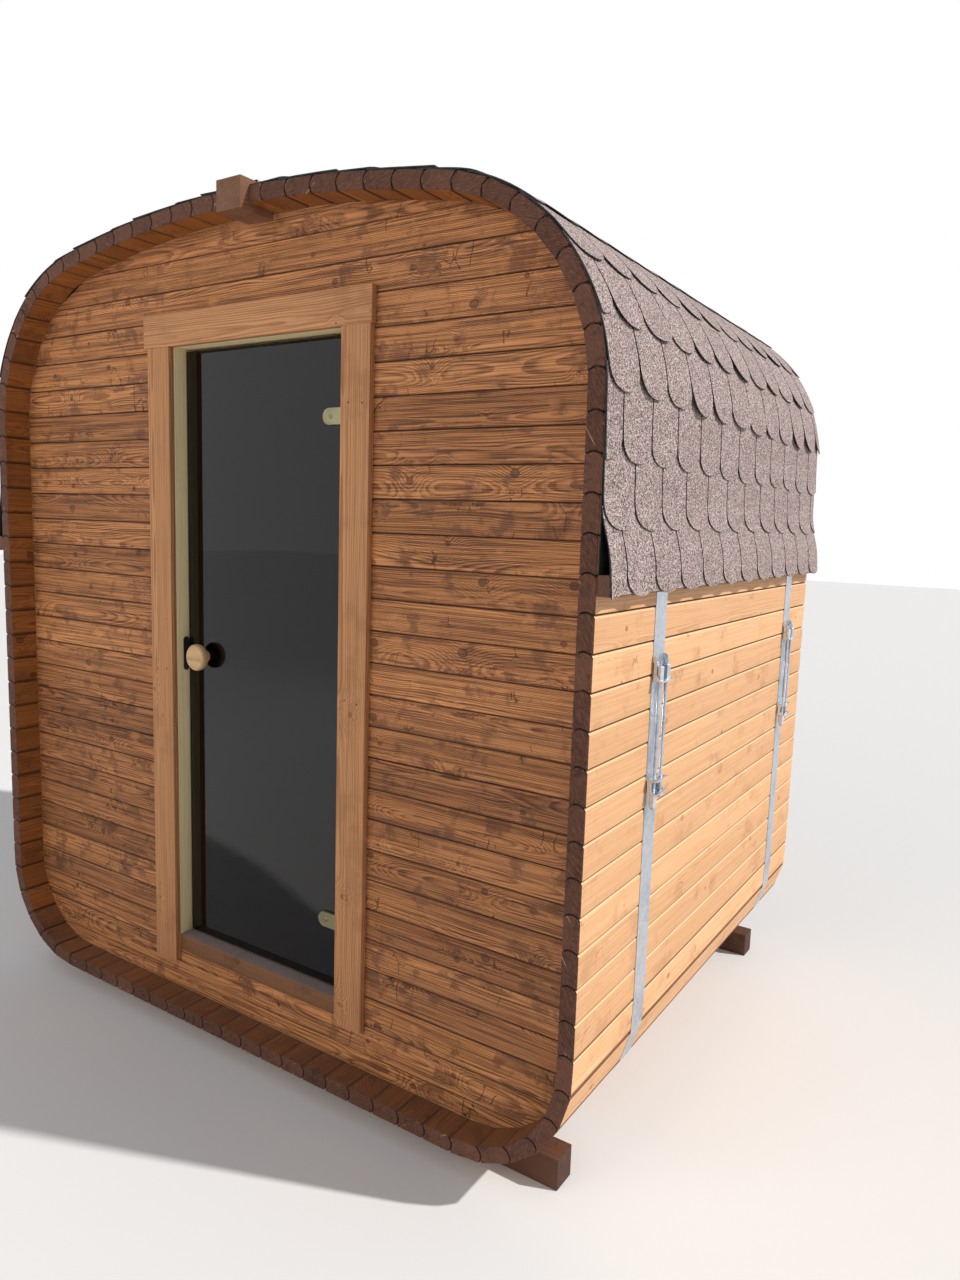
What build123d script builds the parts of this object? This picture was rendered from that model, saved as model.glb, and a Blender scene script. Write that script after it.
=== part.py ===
from build123d import *
import math
import os

os.makedirs("parts", exist_ok=True)

# Outdoor sauna with a staved shell shaped like a rounded square.
# Millimetres. X runs to the right seen from the front, Y to the back, Z up.
# The ground is z = 0 and the shell is centred on x = 0, y = 0.

# Shell of staves
shell_width = 2366.0
shell_length = 1880.0
shell_underside = 62.0
shell_crown = 2582.0
stave_thickness = 44.0
stave_cover = 88.0
lower_corner_radius = 337.0
upper_corner_radius = 528.0
upper_corner_height = 1988.0
side_joint_height = 445.0
joint_groove_depth = 2.5
joint_groove_half_width = 2.0

# Ridge beam that closes the arch
ridge_beam_width = 96.0
ridge_beam_top = 2601.0
ridge_beam_bottom = 2517.0
ridge_beam_centre = 44.0
ridge_beam_nose = 29.0
closing_stave = 52.0

# Cross beams under the floor
foot_half_length = 1100.0
foot_depth = 78.0
foot_top = 86.0
foot_inset = 110.0

# End walls
end_wall_thickness = 44.0
front_recess = 89.0
back_recess = 89.0

# Doorway in the front wall
door_left = -339.0
door_right = 368.0
door_bottom = 292.0
door_top_below_crown = 378.0
jamb_thickness = 36.0
jamb_depth = 75.0
sill_height = 54.0
stop_thickness = 12.0
stop_reach = 12.0
trim_thickness = 20.0
trim_width = 101.0
trim_foot_left = 203.0
trim_foot_right = 226.0
header_height = 98.0
header_left_overhang = 17.0
header_right_overhang = 4.0

# Glass door leaf
glass_thickness = 8.0
glass_gap = 6.0
glass_front_depth = 44.0
knob_height = 1243.0
knob_inset = 80.0
knob_radius = 42.0
knob_standoff = 22.0
knob_thickness = 27.0
knob_bevel = 7.0
neck_radius = 17.0
bolt_radius = 5.0
hinge_upper_height = 1979.0
hinge_lower_height = 502.0
hinge_plate_height = 46.0
hinge_plate_length = 104.0
hinge_plate_thickness = 8.0
hinge_pin_from_jamb = 12.0
hinge_pin_forward = 10.0
knuckle_radius = 5.0

# Latch plate on the left jamb
latch_height = 1245.0
latch_length = 110.0
latch_width = 21.0
latch_thickness = 3.0

# Roof covering and the battens that kick out its lowest course
sheet_thickness = 6.0
cap_thickness = 5.0
cap_flap = 106.0
batten_thickness = 30.0
batten_height = 48.0
batten_bottom = 1545.0
eaves_drop = 4.0

# Hoops with screw tighteners on the right side
hoop_width = 72.0
hoop_thickness = 2.0
front_hoop_inset = 383.0
back_hoop_inset = 266.0
hoop_end_gap = 6.0
front_lug_upper = 1311.0
front_lug_lower = 1054.0
back_lug_upper = 1305.0
back_lug_lower = 1062.0
lug_width = 76.0
lug_reach = 31.0
lug_plate = 4.0
lug_leaf = 66.0
lug_channel = 40.0
ear_plate = 3.0
ear_reach = 11.0
rod_radius = 5.0
rod_spread = 44.0
rod_offset = 17.0
rod_end = 14.0
nut_radius = 11.0
long_nut = 36.0
short_nut = 12.0

half_width = shell_width / 2
half_length = shell_length / 2
front_face = -half_length + front_recess
front_back = front_face + end_wall_thickness
back_face = half_length - back_recess
back_front = back_face - end_wall_thickness
door_top = shell_crown - door_top_below_crown

# Right half of the outline, from the middle of the underside to the crown:
# line, lower corner, upright side, upper corner, low arch.
low_cx = half_width - lower_corner_radius
low_cz = shell_underside + lower_corner_radius
up_cx = half_width - upper_corner_radius
up_cz = upper_corner_height
rise = shell_crown - up_cz
arch_radius = (up_cx ** 2 + rise ** 2 - upper_corner_radius ** 2) / (2 * (rise - upper_corner_radius))
arch_cz = shell_crown - arch_radius
arch_angle = math.asin(up_cx / (arch_radius - upper_corner_radius))
mid = stave_thickness / 2

run_floor = low_cx
run_low = (lower_corner_radius - mid) * math.pi / 2
run_side = up_cz - low_cz
run_up = (upper_corner_radius - mid) * (math.pi / 2 - arch_angle)
run_arch = (arch_radius - mid) * arch_angle
start_low = run_floor
start_side = start_low + run_low
start_up = start_side + run_side
start_arch = start_up + run_up
run_total = start_arch + run_arch


def outline(s):
    # point on the outer face and outward normal at mid-stave arc length s
    if s <= start_low:
        return (s, shell_underside), (0.0, -1.0)
    if s <= start_side:
        a = (s - start_low) / (lower_corner_radius - mid) - math.pi / 2
        n = (math.cos(a), math.sin(a))
        return (low_cx + lower_corner_radius * n[0], low_cz + lower_corner_radius * n[1]), n
    if s <= start_up:
        return (half_width, low_cz + s - start_side), (1.0, 0.0)
    if s <= start_arch:
        a = (s - start_up) / (upper_corner_radius - mid)
        n = (math.cos(a), math.sin(a))
        return (up_cx + upper_corner_radius * n[0], up_cz + upper_corner_radius * n[1]), n
    a = math.pi / 2 - arch_angle + (s - start_arch) / (arch_radius - mid)
    n = (math.cos(a), math.sin(a))
    return (arch_radius * n[0], arch_cz + arch_radius * n[1]), n


def arch_run(x):
    # arc length at which the arch passes the upright plane x
    return run_total - (arch_radius - mid) * math.asin(x / (arch_radius - mid))


def spaced(a, b, count):
    return [a + (b - a) * i / count for i in range(count + 1)]


# Joint positions along each half
floor_count = int((low_cx - stave_cover / 2) / stave_cover + 1e-6)
last_floor = stave_cover / 2 + floor_count * stave_cover
side_start = start_side + side_joint_height - low_cz
low_count = round((side_start - last_floor) / stave_cover)
side_count = int((up_cz - side_joint_height) / stave_cover + 1e-6)
side_end = side_start + side_count * stave_cover
low_joints = spaced(last_floor, side_start, low_count)
side_joints = spaced(side_start, side_end, side_count)


def top_joints(beam_side):
    stop = arch_run(beam_side + closing_stave)
    count = round((stop - side_end) / stave_cover)
    corner = round((start_arch - side_end) / stave_cover)
    joints = spaced(side_end, stop, count)
    return joints[:corner + 1], joints[corner:] + [arch_run(beam_side)]


beam_right = ridge_beam_centre + ridge_beam_width / 2
beam_left = -(ridge_beam_centre - ridge_beam_width / 2)
up_joints_right, arch_joints_right = top_joints(beam_right)
up_joints_left, arch_joints_left = top_joints(beam_left)
floor_joints = [s for s in spaced(-last_floor, last_floor, 2 * floor_count + 1)]


def point(s, side):
    if s < 0:
        (x, z), n = outline(-s)
        return (-x * side, z), (-n[0] * side, n[1])
    (x, z), n = outline(s)
    return (x * side, z), (n[0] * side, n[1])


def toward(a, b, reach):
    d = math.hypot(b[0] - a[0], b[1] - a[1])
    return (a[0] + (b[0] - a[0]) * reach / d, a[1] + (b[1] - a[1]) * reach / d)


def joint_points(s, side, depth):
    p, n = point(s, side)
    return (p[0] - n[0] * depth, p[1] - n[1] * depth)


def face_run(pts, floor):
    # flat stave faces with a bevelled groove at each joint
    run = []
    for i, p in enumerate(pts):
        if i > 0:
            run.append(toward(p, pts[i - 1], joint_groove_half_width))
        run.append(floor[i])
        if i < len(pts) - 1:
            run.append(toward(p, pts[i + 1], joint_groove_half_width))
    return run


def depth_run(joints, side, depth, plane_x=None):
    pts = [joint_points(s, side, depth) for s in joints]
    if plane_x is not None:
        pts[-1] = (plane_x, pts[-1][1])
    return pts


def prism(points, y0, y1):
    wire = Polyline(*[(x, y0, z) for x, z in points], close=True)
    return extrude(make_face(wire), amount=y1 - y0, dir=(0, 1, 0))


def box(x0, x1, y0, y1, z0, z1):
    return Pos((x0 + x1) / 2, (y0 + y1) / 2, (z0 + z1) / 2) * Box(x1 - x0, y1 - y0, z1 - z0)


def rod(x, y, z0, z1, radius):
    return Pos(x, y, (z0 + z1) / 2) * Cylinder(radius, z1 - z0)


def rod_y(x, z, y0, y1, radius):
    return Pos(x, (y0 + y1) / 2, z) * Rot(90, 0, 0) * Cylinder(radius, y1 - y0)


def staves(joints, side, plane_x=None):
    # a stave against the ridge beam is planed upright at plane_x
    outer = depth_run(joints, side, 0.0, plane_x)
    outer_floor = depth_run(joints, side, joint_groove_depth, plane_x)
    inner = depth_run(joints, side, stave_thickness, plane_x)
    inner_floor = depth_run(joints, side, stave_thickness - joint_groove_depth, plane_x)
    section = face_run(outer, outer_floor) + face_run(inner, inner_floor)[::-1]
    return prism(section, -half_length, half_length)


def save(shape, name):
    export_step(shape, "parts/" + name + ".step")


# The staves, in runs that share a straight or a curved stretch
save(staves(floor_joints, 1), "floor_staves")
save(staves(low_joints, 1), "lower_corner_right")
save(staves(low_joints, -1), "lower_corner_left")
save(staves(side_joints, 1), "side_staves_right")
save(staves(side_joints, -1), "side_staves_left")
save(staves(up_joints_right, 1), "upper_corner_right")
save(staves(up_joints_left, -1), "upper_corner_left")

save(staves(arch_joints_right, 1, beam_right), "roof_staves_right")
save(staves(arch_joints_left, -1, -beam_left), "roof_staves_left")

# Square beam at the ridge, a little longer than the staves
save(box(-beam_left, beam_right, -half_length - ridge_beam_nose, half_length + ridge_beam_nose,
         ridge_beam_bottom, ridge_beam_top), "ridge_beam")

# Outline of the whole shell as plain polygons
right_joints = low_joints[:-1] + side_joints[:-1] + up_joints_right[:-1] + arch_joints_right
left_joints = low_joints[:-1] + side_joints[:-1] + up_joints_left[:-1] + arch_joints_left


def ring(depth):
    floor = [joint_points(s, 1, depth) for s in floor_joints[:-1]]
    right = [joint_points(s, 1, depth) for s in right_joints]
    left = [joint_points(s, -1, depth) for s in left_joints]
    right[-1] = (beam_right, right[-1][1])
    left[-1] = (-beam_left, left[-1][1])
    return floor + right + left[:0:-1]


shell_outer = ring(0.0)
shell_inner = ring(stave_thickness)

# Cross beams, hollowed on top to cradle the shell
for name, y0 in (("foot_beam_front", -half_length + foot_inset),
                 ("foot_beam_back", half_length - foot_inset - foot_depth)):
    beam = box(-foot_half_length, foot_half_length, y0, y0 + foot_depth, 0, foot_top)
    beam = beam - prism(shell_outer, y0 - 5, y0 + foot_depth + 5)
    save(beam, name)

# End walls of boards let in between the staves; the beam notches them at the ridge
beam_notch = box(-beam_left, beam_right, -half_length, half_length, ridge_beam_bottom, ridge_beam_top)
front_panel = prism(shell_inner, front_face, front_back) - beam_notch
back_panel = prism(shell_inner, back_front, back_face) - beam_notch
save(back_panel, "back_wall")

hole_left = door_left - jamb_thickness
hole_right = door_right + jamb_thickness
hole_bottom = door_bottom - sill_height
hole_top = door_top + jamb_thickness
y_in = front_face - 5
y_out = front_back + 5
save(front_panel & box(-half_width, hole_left, y_in, y_out, 0, shell_crown), "front_wall_left")
save(front_panel & box(hole_right, half_width, y_in, y_out, 0, shell_crown), "front_wall_right")
save(front_panel & box(hole_left, hole_right, y_in, y_out, hole_top, shell_crown), "front_wall_above_door")
save(front_panel & box(hole_left, hole_right, y_in, y_out, 0, hole_bottom), "front_wall_below_door")

# Door frame with a stop behind the glass
jamb_back = front_face + jamb_depth
stop_front = jamb_back - stop_thickness
jamb_l = box(hole_left, door_left, front_face, jamb_back, hole_bottom, hole_top)
stop_l = box(door_left, door_left + stop_reach, stop_front, jamb_back, door_bottom, door_top)
save(jamb_l + stop_l, "door_jamb_left")
jamb_r = box(door_right, hole_right, front_face, jamb_back, hole_bottom, hole_top)
stop_r = box(door_right - stop_reach, door_right, stop_front, jamb_back, door_bottom, door_top)
save(jamb_r + stop_r, "door_jamb_right")
head = box(door_left, door_right, front_face, jamb_back, door_top, hole_top)
stop_h = box(door_left + stop_reach, door_right - stop_reach, stop_front, jamb_back,
             door_top - stop_reach, door_top)
save(head + stop_h, "door_head")
save(box(door_left, door_right, front_face, jamb_back, hole_bottom, door_bottom), "door_sill")

# Flat trims round the doorway
trim_front = front_face - trim_thickness
save(box(door_left - trim_width, door_left, trim_front, front_face, trim_foot_left, door_top),
     "door_trim_left")
save(box(door_right, door_right + trim_width, trim_front, front_face, trim_foot_right, door_top),
     "door_trim_right")
save(box(door_left - trim_width - header_left_overhang, door_right + trim_width + header_right_overhang,
         trim_front, front_face, door_top, door_top + header_height), "door_trim_header")

# Glass leaf, drilled for the knob bolt and the hinge screws
glass_front = front_face + glass_front_depth
glass_back = glass_front + glass_thickness
glass_left = door_left + glass_gap
glass_right = door_right - glass_gap
glass = box(glass_left, glass_right, glass_front, glass_back, door_bottom + glass_gap, door_top - glass_gap)
knob_x = glass_left + knob_inset
pin_x = door_right - hinge_pin_from_jamb
pin_y = glass_front - hinge_pin_forward
plate_left = door_right - hinge_plate_length - hinge_pin_from_jamb
plate_right = pin_x - knuckle_radius
screw_a = plate_left + 0.3 * (plate_right - plate_left)
screw_b = plate_left + 0.75 * (plate_right - plate_left)
glass = glass - rod_y(knob_x, knob_height, glass_front - 2, glass_back + 2, bolt_radius)
for z in (hinge_upper_height, hinge_lower_height):
    for x in (screw_a, screw_b):
        glass = glass - rod_y(x, z, glass_front - 2, glass_back + 2, bolt_radius)
save(glass, "door_glass")


def knob(direction, face):
    # turned neck and a round disc with bevelled rims
    y_neck = face + direction * knob_standoff
    y_end = y_neck + direction * knob_thickness
    neck = rod_y(knob_x, knob_height, min(face, y_neck), max(face, y_neck), neck_radius)
    disc = rod_y(knob_x, knob_height, min(y_neck, y_end), max(y_neck, y_end), knob_radius)
    disc = chamfer(disc.edges(), knob_bevel)
    return neck + disc


bolt = rod_y(knob_x, knob_height, glass_front, glass_back, bolt_radius)
save(knob(-1, glass_front) + bolt + knob(1, glass_back), "door_knob")

# Hinge clips screwed through the glass, turning on pins held by leaves on the right jamb
half_plate = hinge_plate_height / 2
knuckle_half = half_plate * 0.45


def hinge_clip(z):
    r = half_plate
    front = box(plate_left + r, plate_right, glass_front - hinge_plate_thickness, glass_front, z - r, z + r)
    front = front + rod_y(plate_left + r, z, glass_front - hinge_plate_thickness, glass_front, r)
    back = box(plate_left + r, plate_right, glass_back, glass_back + 3, z - r, z + r)
    back = back + rod_y(plate_left + r, z, glass_back, glass_back + 3, r)
    clip = front + back
    for x in (screw_a, screw_b):
        clip = clip + rod_y(x, z, glass_front, glass_back, bolt_radius)
    web = box(plate_right, pin_x, glass_front - hinge_plate_thickness + 1, glass_front - 1,
              z - knuckle_half, z + knuckle_half)
    barrel = rod(pin_x, pin_y, z - knuckle_half, z + knuckle_half, knuckle_radius)
    return clip + web + barrel


save(Compound(children=[hinge_clip(hinge_lower_height), hinge_clip(hinge_upper_height)]), "door_hinge_clips")


def hinge_leaf(z):
    leaf = box(door_right - 3, door_right, pin_y - 26, pin_y + knuckle_radius, z - half_plate, z + half_plate)
    for lo, hi in ((z - half_plate, z - knuckle_half - 1), (z + knuckle_half + 1, z + half_plate)):
        leaf = leaf + rod(pin_x, pin_y, lo, hi, knuckle_radius)
        leaf = leaf + box(pin_x, door_right - 3, pin_y - 3, pin_y + 3, lo, hi)
    return leaf


save(Compound(children=[hinge_leaf(hinge_lower_height), hinge_leaf(hinge_upper_height)]), "hinge_jamb_leaves")

# Latch plate with rounded ends, flat on the left jamb
lr = latch_width / 2
latch_y = glass_front - 9
plate = box(door_left, door_left + latch_thickness, latch_y - lr, latch_y + lr,
            latch_height - latch_length / 2 + lr, latch_height + latch_length / 2 - lr)
for z in (latch_height - latch_length / 2 + lr, latch_height + latch_length / 2 - lr):
    end = Pos(door_left + latch_thickness / 2, latch_y, z) * Rot(0, 90, 0) * Cylinder(lr, latch_thickness)
    plate = plate + end
save(plate, "latch_plate")


# Hoops round the shell, flat steel drawn tight. The two ends of the strip meet behind the upper lug.
def hoop(y_centre, upper):
    y0 = y_centre - hoop_width / 2
    y1 = y_centre + hoop_width / 2
    outer = ring(-hoop_thickness)
    band = prism(outer, y0, y1) - prism(shell_outer, y0 - 5, y1 + 5)
    gap_bottom = upper + 0.5 * (lug_leaf - hoop_end_gap)
    gap = box(half_width - 1, half_width + 50, y0 - 5, y1 + 5, gap_bottom, gap_bottom + hoop_end_gap)
    beam = box(-beam_left, beam_right, y0 - 5, y1 + 5, 0.5 * shell_crown, ridge_beam_top)
    return band - gap - beam


front_hoop_y = -half_length + front_hoop_inset
back_hoop_y = half_length - back_hoop_inset
hoop_front = hoop(front_hoop_y, front_lug_upper)
hoop_back = hoop(back_hoop_y, back_lug_upper)
save(hoop_front, "hoop_front")
save(hoop_back, "hoop_back")


def nut(x, y, z0, height):
    return Pos(x, y, z0) * extrude(RegularPolygon(nut_radius, 6), amount=height)


# Tightener: an upper and a lower lug drawn together by two threaded rods. The upper lug is a shelf with
# folded ears, the lower one a channel whose nuts pull from below.
def tightener(y, upper, lower):
    x0 = half_width + hoop_thickness
    y0 = y - lug_width / 2
    y1 = y + lug_width / 2
    channel_bottom = lower - lug_channel
    body = box(x0, x0 + lug_reach, y0, y1, upper, upper + lug_plate)
    body = body + box(x0, x0 + lug_plate, y0, y1, upper, upper + lug_leaf)
    body = body + box(x0, x0 + lug_reach, y0, y1, lower - lug_plate, lower)
    body = body + box(x0, x0 + lug_reach, y0, y1, channel_bottom, channel_bottom + lug_plate)
    body = body + box(x0, x0 + lug_plate, y0, y1, channel_bottom, lower)
    for ear in (y0, y1 - ear_plate):
        body = body + box(x0, x0 + ear_reach, ear, ear + ear_plate, upper, upper + lug_leaf)
        body = body + box(x0, x0 + ear_reach, ear, ear + ear_plate, channel_bottom, lower)
    xr = x0 + rod_offset
    for yr, lower_nut in ((y - rod_spread / 2, long_nut), (y + rod_spread / 2, short_nut)):
        top = upper + lug_plate + long_nut + rod_end
        body = body + rod(xr, yr, channel_bottom - lower_nut - rod_end / 2, top, rod_radius)
        body = body + nut(xr, yr, upper + lug_plate, long_nut)
        body = body + nut(xr, yr, channel_bottom - lower_nut, lower_nut)
    return body


save(tightener(front_hoop_y, front_lug_upper, front_lug_lower), "tightener_front")
save(tightener(back_hoop_y, back_lug_upper, back_lug_lower), "tightener_back")

# Battens on both sides; the hoops pass behind them
batten_top = batten_bottom + batten_height
kick = (half_width + batten_thickness, batten_top)
reach = math.hypot(kick[0] - up_cx, kick[1] - up_cz)
leave = math.atan2(kick[1] - up_cz, kick[0] - up_cx) + math.acos(upper_corner_radius / reach)
leave_point = (up_cx + upper_corner_radius * math.cos(leave), up_cz + upper_corner_radius * math.sin(leave))
slope = (kick[0] - leave_point[0]) / (leave_point[1] - kick[1])
eaves = batten_bottom - eaves_drop


def kick_x(z):
    return kick[0] + slope * (batten_top - z)


batten = [(half_width, batten_bottom), (kick_x(batten_bottom), batten_bottom), kick,
          (half_width, batten_top)]
hoops = (hoop_front, hoop_back)
for side, name in ((1, "eaves_batten_right"), (-1, "eaves_batten_left")):
    strip = prism([(side * x, z) for x, z in batten], -half_length, half_length)
    for y in (front_hoop_y, back_hoop_y):
        strip = strip - box(min(side * half_width, side * (half_width + hoop_thickness)),
                            max(side * half_width, side * (half_width + hoop_thickness)),
                            y - hoop_width / 2, y + hoop_width / 2, batten_bottom - 1, batten_top + 1)
    save(strip, name)


# Shingle covering: lies on the staves, then runs straight out over the batten
def covering(joints, side, plane_x):
    on_shell = []
    for s in joints:
        p = joint_points(s, 1, 0.0)
        if p[1] > leave_point[1] + 20:
            on_shell.append((s, p))
    under = [(kick_x(eaves), eaves), leave_point] + [p for s, p in on_shell]
    top = [(kick_x(eaves) + sheet_thickness, eaves), (leave_point[0] + sheet_thickness, leave_point[1])]
    top = top + [joint_points(s, 1, -sheet_thickness) for s, p in on_shell]
    under = [(side * x, z) for x, z in under]
    top = [(side * x, z) for x, z in top]
    under[-1] = (plane_x, under[-1][1])
    top[-1] = (plane_x, top[-1][1])
    sheet = prism(under + top[::-1], -half_length, half_length)
    shell = prism(shell_outer, -half_length - 5, half_length + 5)
    sheet = sheet - shell
    for band in hoops:
        sheet = sheet - band
    return sheet, top


sheet_right, top_right = covering(up_joints_right[:-1] + arch_joints_right, 1, beam_right)
sheet_left, top_left = covering(up_joints_left[:-1] + arch_joints_left, -1, -beam_left)
save(sheet_right, "shingles_right")
save(sheet_left, "shingles_left")


# Ridge cap bent over the beam and lapped on to both slopes
def height_on(top, x):
    for a, b in zip(top[:-1], top[1:]):
        if min(a[0], b[0]) <= x <= max(a[0], b[0]):
            return a[1] + (b[1] - a[1]) * (x - a[0]) / (b[0] - a[0])
    return top[-1][1]


flap_left = -beam_left - cap_flap
flap_right = beam_right + cap_flap
cap = [(flap_left, height_on(top_left, flap_left)), (-beam_left, ridge_beam_top), (beam_right, ridge_beam_top),
       (flap_right, height_on(top_right, flap_right))]
cap_top = [(x, z + cap_thickness) for x, z in cap]
cover = prism(cap + cap_top[::-1], -half_length, half_length)
cover = cover - prism([(x, z - 60) for x, z in top_right[-4:]] + top_right[-4:][::-1], -half_length, half_length)
save(cover, "shingles_ridge")
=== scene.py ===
# %% [markdown]
# # Dressing an outdoor sauna
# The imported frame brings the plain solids: runs of staves, end walls, a glass door, hoops and a roof
# covering. Each of them is one block. On the real cabin every stave, board and shingle is a separate
# piece, and that is what the eye reads, so the lesson builds those pieces one by one in mesh code and
# lets them stand for the blocks. Metal fittings that are already right keep their solids and only get
# a finish.

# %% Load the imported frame
import bisect
import math
import random

import bmesh
import bpy
from mathutils import Matrix, Vector


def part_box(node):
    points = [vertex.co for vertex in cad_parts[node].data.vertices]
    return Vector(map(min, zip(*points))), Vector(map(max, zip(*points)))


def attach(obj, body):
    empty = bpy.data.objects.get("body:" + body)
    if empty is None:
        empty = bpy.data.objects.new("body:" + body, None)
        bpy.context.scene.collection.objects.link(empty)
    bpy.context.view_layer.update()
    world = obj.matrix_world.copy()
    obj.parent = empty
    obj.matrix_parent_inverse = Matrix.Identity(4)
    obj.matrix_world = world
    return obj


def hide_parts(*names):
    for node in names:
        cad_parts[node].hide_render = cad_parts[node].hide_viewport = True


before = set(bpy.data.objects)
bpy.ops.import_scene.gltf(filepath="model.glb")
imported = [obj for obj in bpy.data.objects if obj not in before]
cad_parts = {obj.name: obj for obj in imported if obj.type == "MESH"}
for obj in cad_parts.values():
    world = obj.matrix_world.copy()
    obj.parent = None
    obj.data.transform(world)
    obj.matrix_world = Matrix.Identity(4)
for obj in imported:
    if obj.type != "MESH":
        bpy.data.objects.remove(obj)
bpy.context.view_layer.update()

# %% [markdown]
# ## The camera
# The photograph was taken standing up, a little to the right of the door, with the phone turned a few
# degrees. Position, heading, tilt and roll were solved from the evenly spaced stave joints, so the
# lens and the turn are written out as numbers instead of being tuned by eye.

# %% Camera where the photographer stood
CAMERA_AT = Vector((2.0510, -2.7368, 1.7025))
HEADING = math.radians(33.014)
TILT_DOWN = math.radians(7.506)
ROLL = math.radians(1.820)
LENS = 25.39
SENSOR = 36.0


def add_object(name, data):
    holder = bpy.data.objects.new(name, data)
    bpy.context.scene.collection.objects.link(holder)
    return holder


def place_camera():
    forward = Vector((-math.sin(HEADING) * math.cos(TILT_DOWN), math.cos(HEADING) * math.cos(TILT_DOWN),
                      -math.sin(TILT_DOWN)))
    right = Vector((math.cos(HEADING), math.sin(HEADING), 0))
    up = right.cross(forward)
    rolled_right = math.cos(ROLL) * right + math.sin(ROLL) * up
    rolled_up = math.cos(ROLL) * up - math.sin(ROLL) * right
    camera = add_object("photo_camera", bpy.data.cameras.new("photo_camera"))
    camera.data.lens = LENS
    camera.data.sensor_width = SENSOR
    turn = Matrix((rolled_right, rolled_up, -forward)).transposed().to_4x4()
    camera.matrix_world = Matrix.Translation(CAMERA_AT) @ turn
    bpy.context.scene.camera = camera


place_camera()
print("camera:", bpy.context.scene.camera.location)

# %% [markdown]
# ## The curve of the shell
# The cross-section is a square with rounded corners under a low arch. Its right half is a line, a
# corner, an upright side, a larger corner and an arc. A stave joint can then be named by one number,
# its distance along that outline, and the same function serves staves, hoops and shingles.

# %% Outline of the right half, in millimetres
MM = 0.001
HALF_WIDTH = 1183.0
HALF_LENGTH = 940.0
UNDERSIDE = 62.0
CROWN = 2582.0
STAVE = 44.0
COVER = 88.0
LOW_R = 337.0
UP_R = 528.0
UP_Z = 1988.0
SIDE_JOINT = 445.0

LOW_X = HALF_WIDTH - LOW_R
LOW_Z = UNDERSIDE + LOW_R
UP_X = HALF_WIDTH - UP_R
RISE = CROWN - UP_Z
ARCH_R = (UP_X ** 2 + RISE ** 2 - UP_R ** 2) / (2 * (RISE - UP_R))
ARCH_Z = CROWN - ARCH_R
ARCH_A = math.asin(UP_X / (ARCH_R - UP_R))
HALF_STAVE = STAVE / 2
S_LOW = LOW_X
S_SIDE = S_LOW + (LOW_R - HALF_STAVE) * math.pi / 2
S_UP = S_SIDE + UP_Z - LOW_Z
S_ARCH = S_UP + (UP_R - HALF_STAVE) * (math.pi / 2 - ARCH_A)
S_END = S_ARCH + (ARCH_R - HALF_STAVE) * ARCH_A


def outline(s):
    """Point on the outer face and the outward angle, at distance s from the middle of the underside."""
    if s <= S_LOW:
        return s, UNDERSIDE, -math.pi / 2
    if s <= S_SIDE:
        a = (s - S_LOW) / (LOW_R - HALF_STAVE) - math.pi / 2
        return LOW_X + LOW_R * math.cos(a), LOW_Z + LOW_R * math.sin(a), a
    if s <= S_UP:
        return HALF_WIDTH, LOW_Z + s - S_SIDE, 0.0
    if s <= S_ARCH:
        a = (s - S_UP) / (UP_R - HALF_STAVE)
        return UP_X + UP_R * math.cos(a), UP_Z + UP_R * math.sin(a), a
    a = math.pi / 2 - ARCH_A + (s - S_ARCH) / (ARCH_R - HALF_STAVE)
    return ARCH_R * math.cos(a), ARCH_Z + ARCH_R * math.sin(a), a


def arch_run(x):
    return S_END - (ARCH_R - HALF_STAVE) * math.asin(x / (ARCH_R - HALF_STAVE))


def spaced(a, b, count):
    return [a + (b - a) * i / count for i in range(count + 1)]


print("outline length per half:", round(S_END), "mm, arch radius:", round(ARCH_R), "mm")

# %% Joints between the staves
BEAM_RIGHT = 92.0
BEAM_LEFT = 4.0
CLOSING = 52.0
floor_last = COVER / 2 + int((LOW_X - COVER / 2) / COVER + 1e-6) * COVER
side_first = S_SIDE + SIDE_JOINT - LOW_Z
side_last = side_first + int((UP_Z - SIDE_JOINT) / COVER + 1e-6) * COVER
floor_joints = spaced(-floor_last, floor_last, round(2 * floor_last / COVER))
low_joints = spaced(floor_last, side_first, round((side_first - floor_last) / COVER))
side_joints = spaced(side_first, side_last, round((side_last - side_first) / COVER))


def joints_above(beam_side):
    stop = arch_run(beam_side + CLOSING)
    joints = spaced(side_last, stop, round((stop - side_last) / COVER))
    corner = round((S_ARCH - side_last) / COVER)
    return joints[:corner + 1], joints[corner:] + [arch_run(beam_side)]


up_right, arch_right = joints_above(BEAM_RIGHT)
up_left, arch_left = joints_above(BEAM_LEFT)
print("staves:", len(floor_joints) - 1, "in the floor,", len(side_joints) - 1, "in each side")

# %% [markdown]
# ## A workbench for pieces
# Timber looks right when the figure runs through the piece and comes out on its end as rings. A solid
# texture does that, as long as each vertex carries its place inside its own piece: along the grain,
# across it and into it. The workbench gathers many planks in one mesh and stores that place, plus a
# seed number that tells planks apart.

# %% Mesh gatherer with timber coordinates


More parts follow.
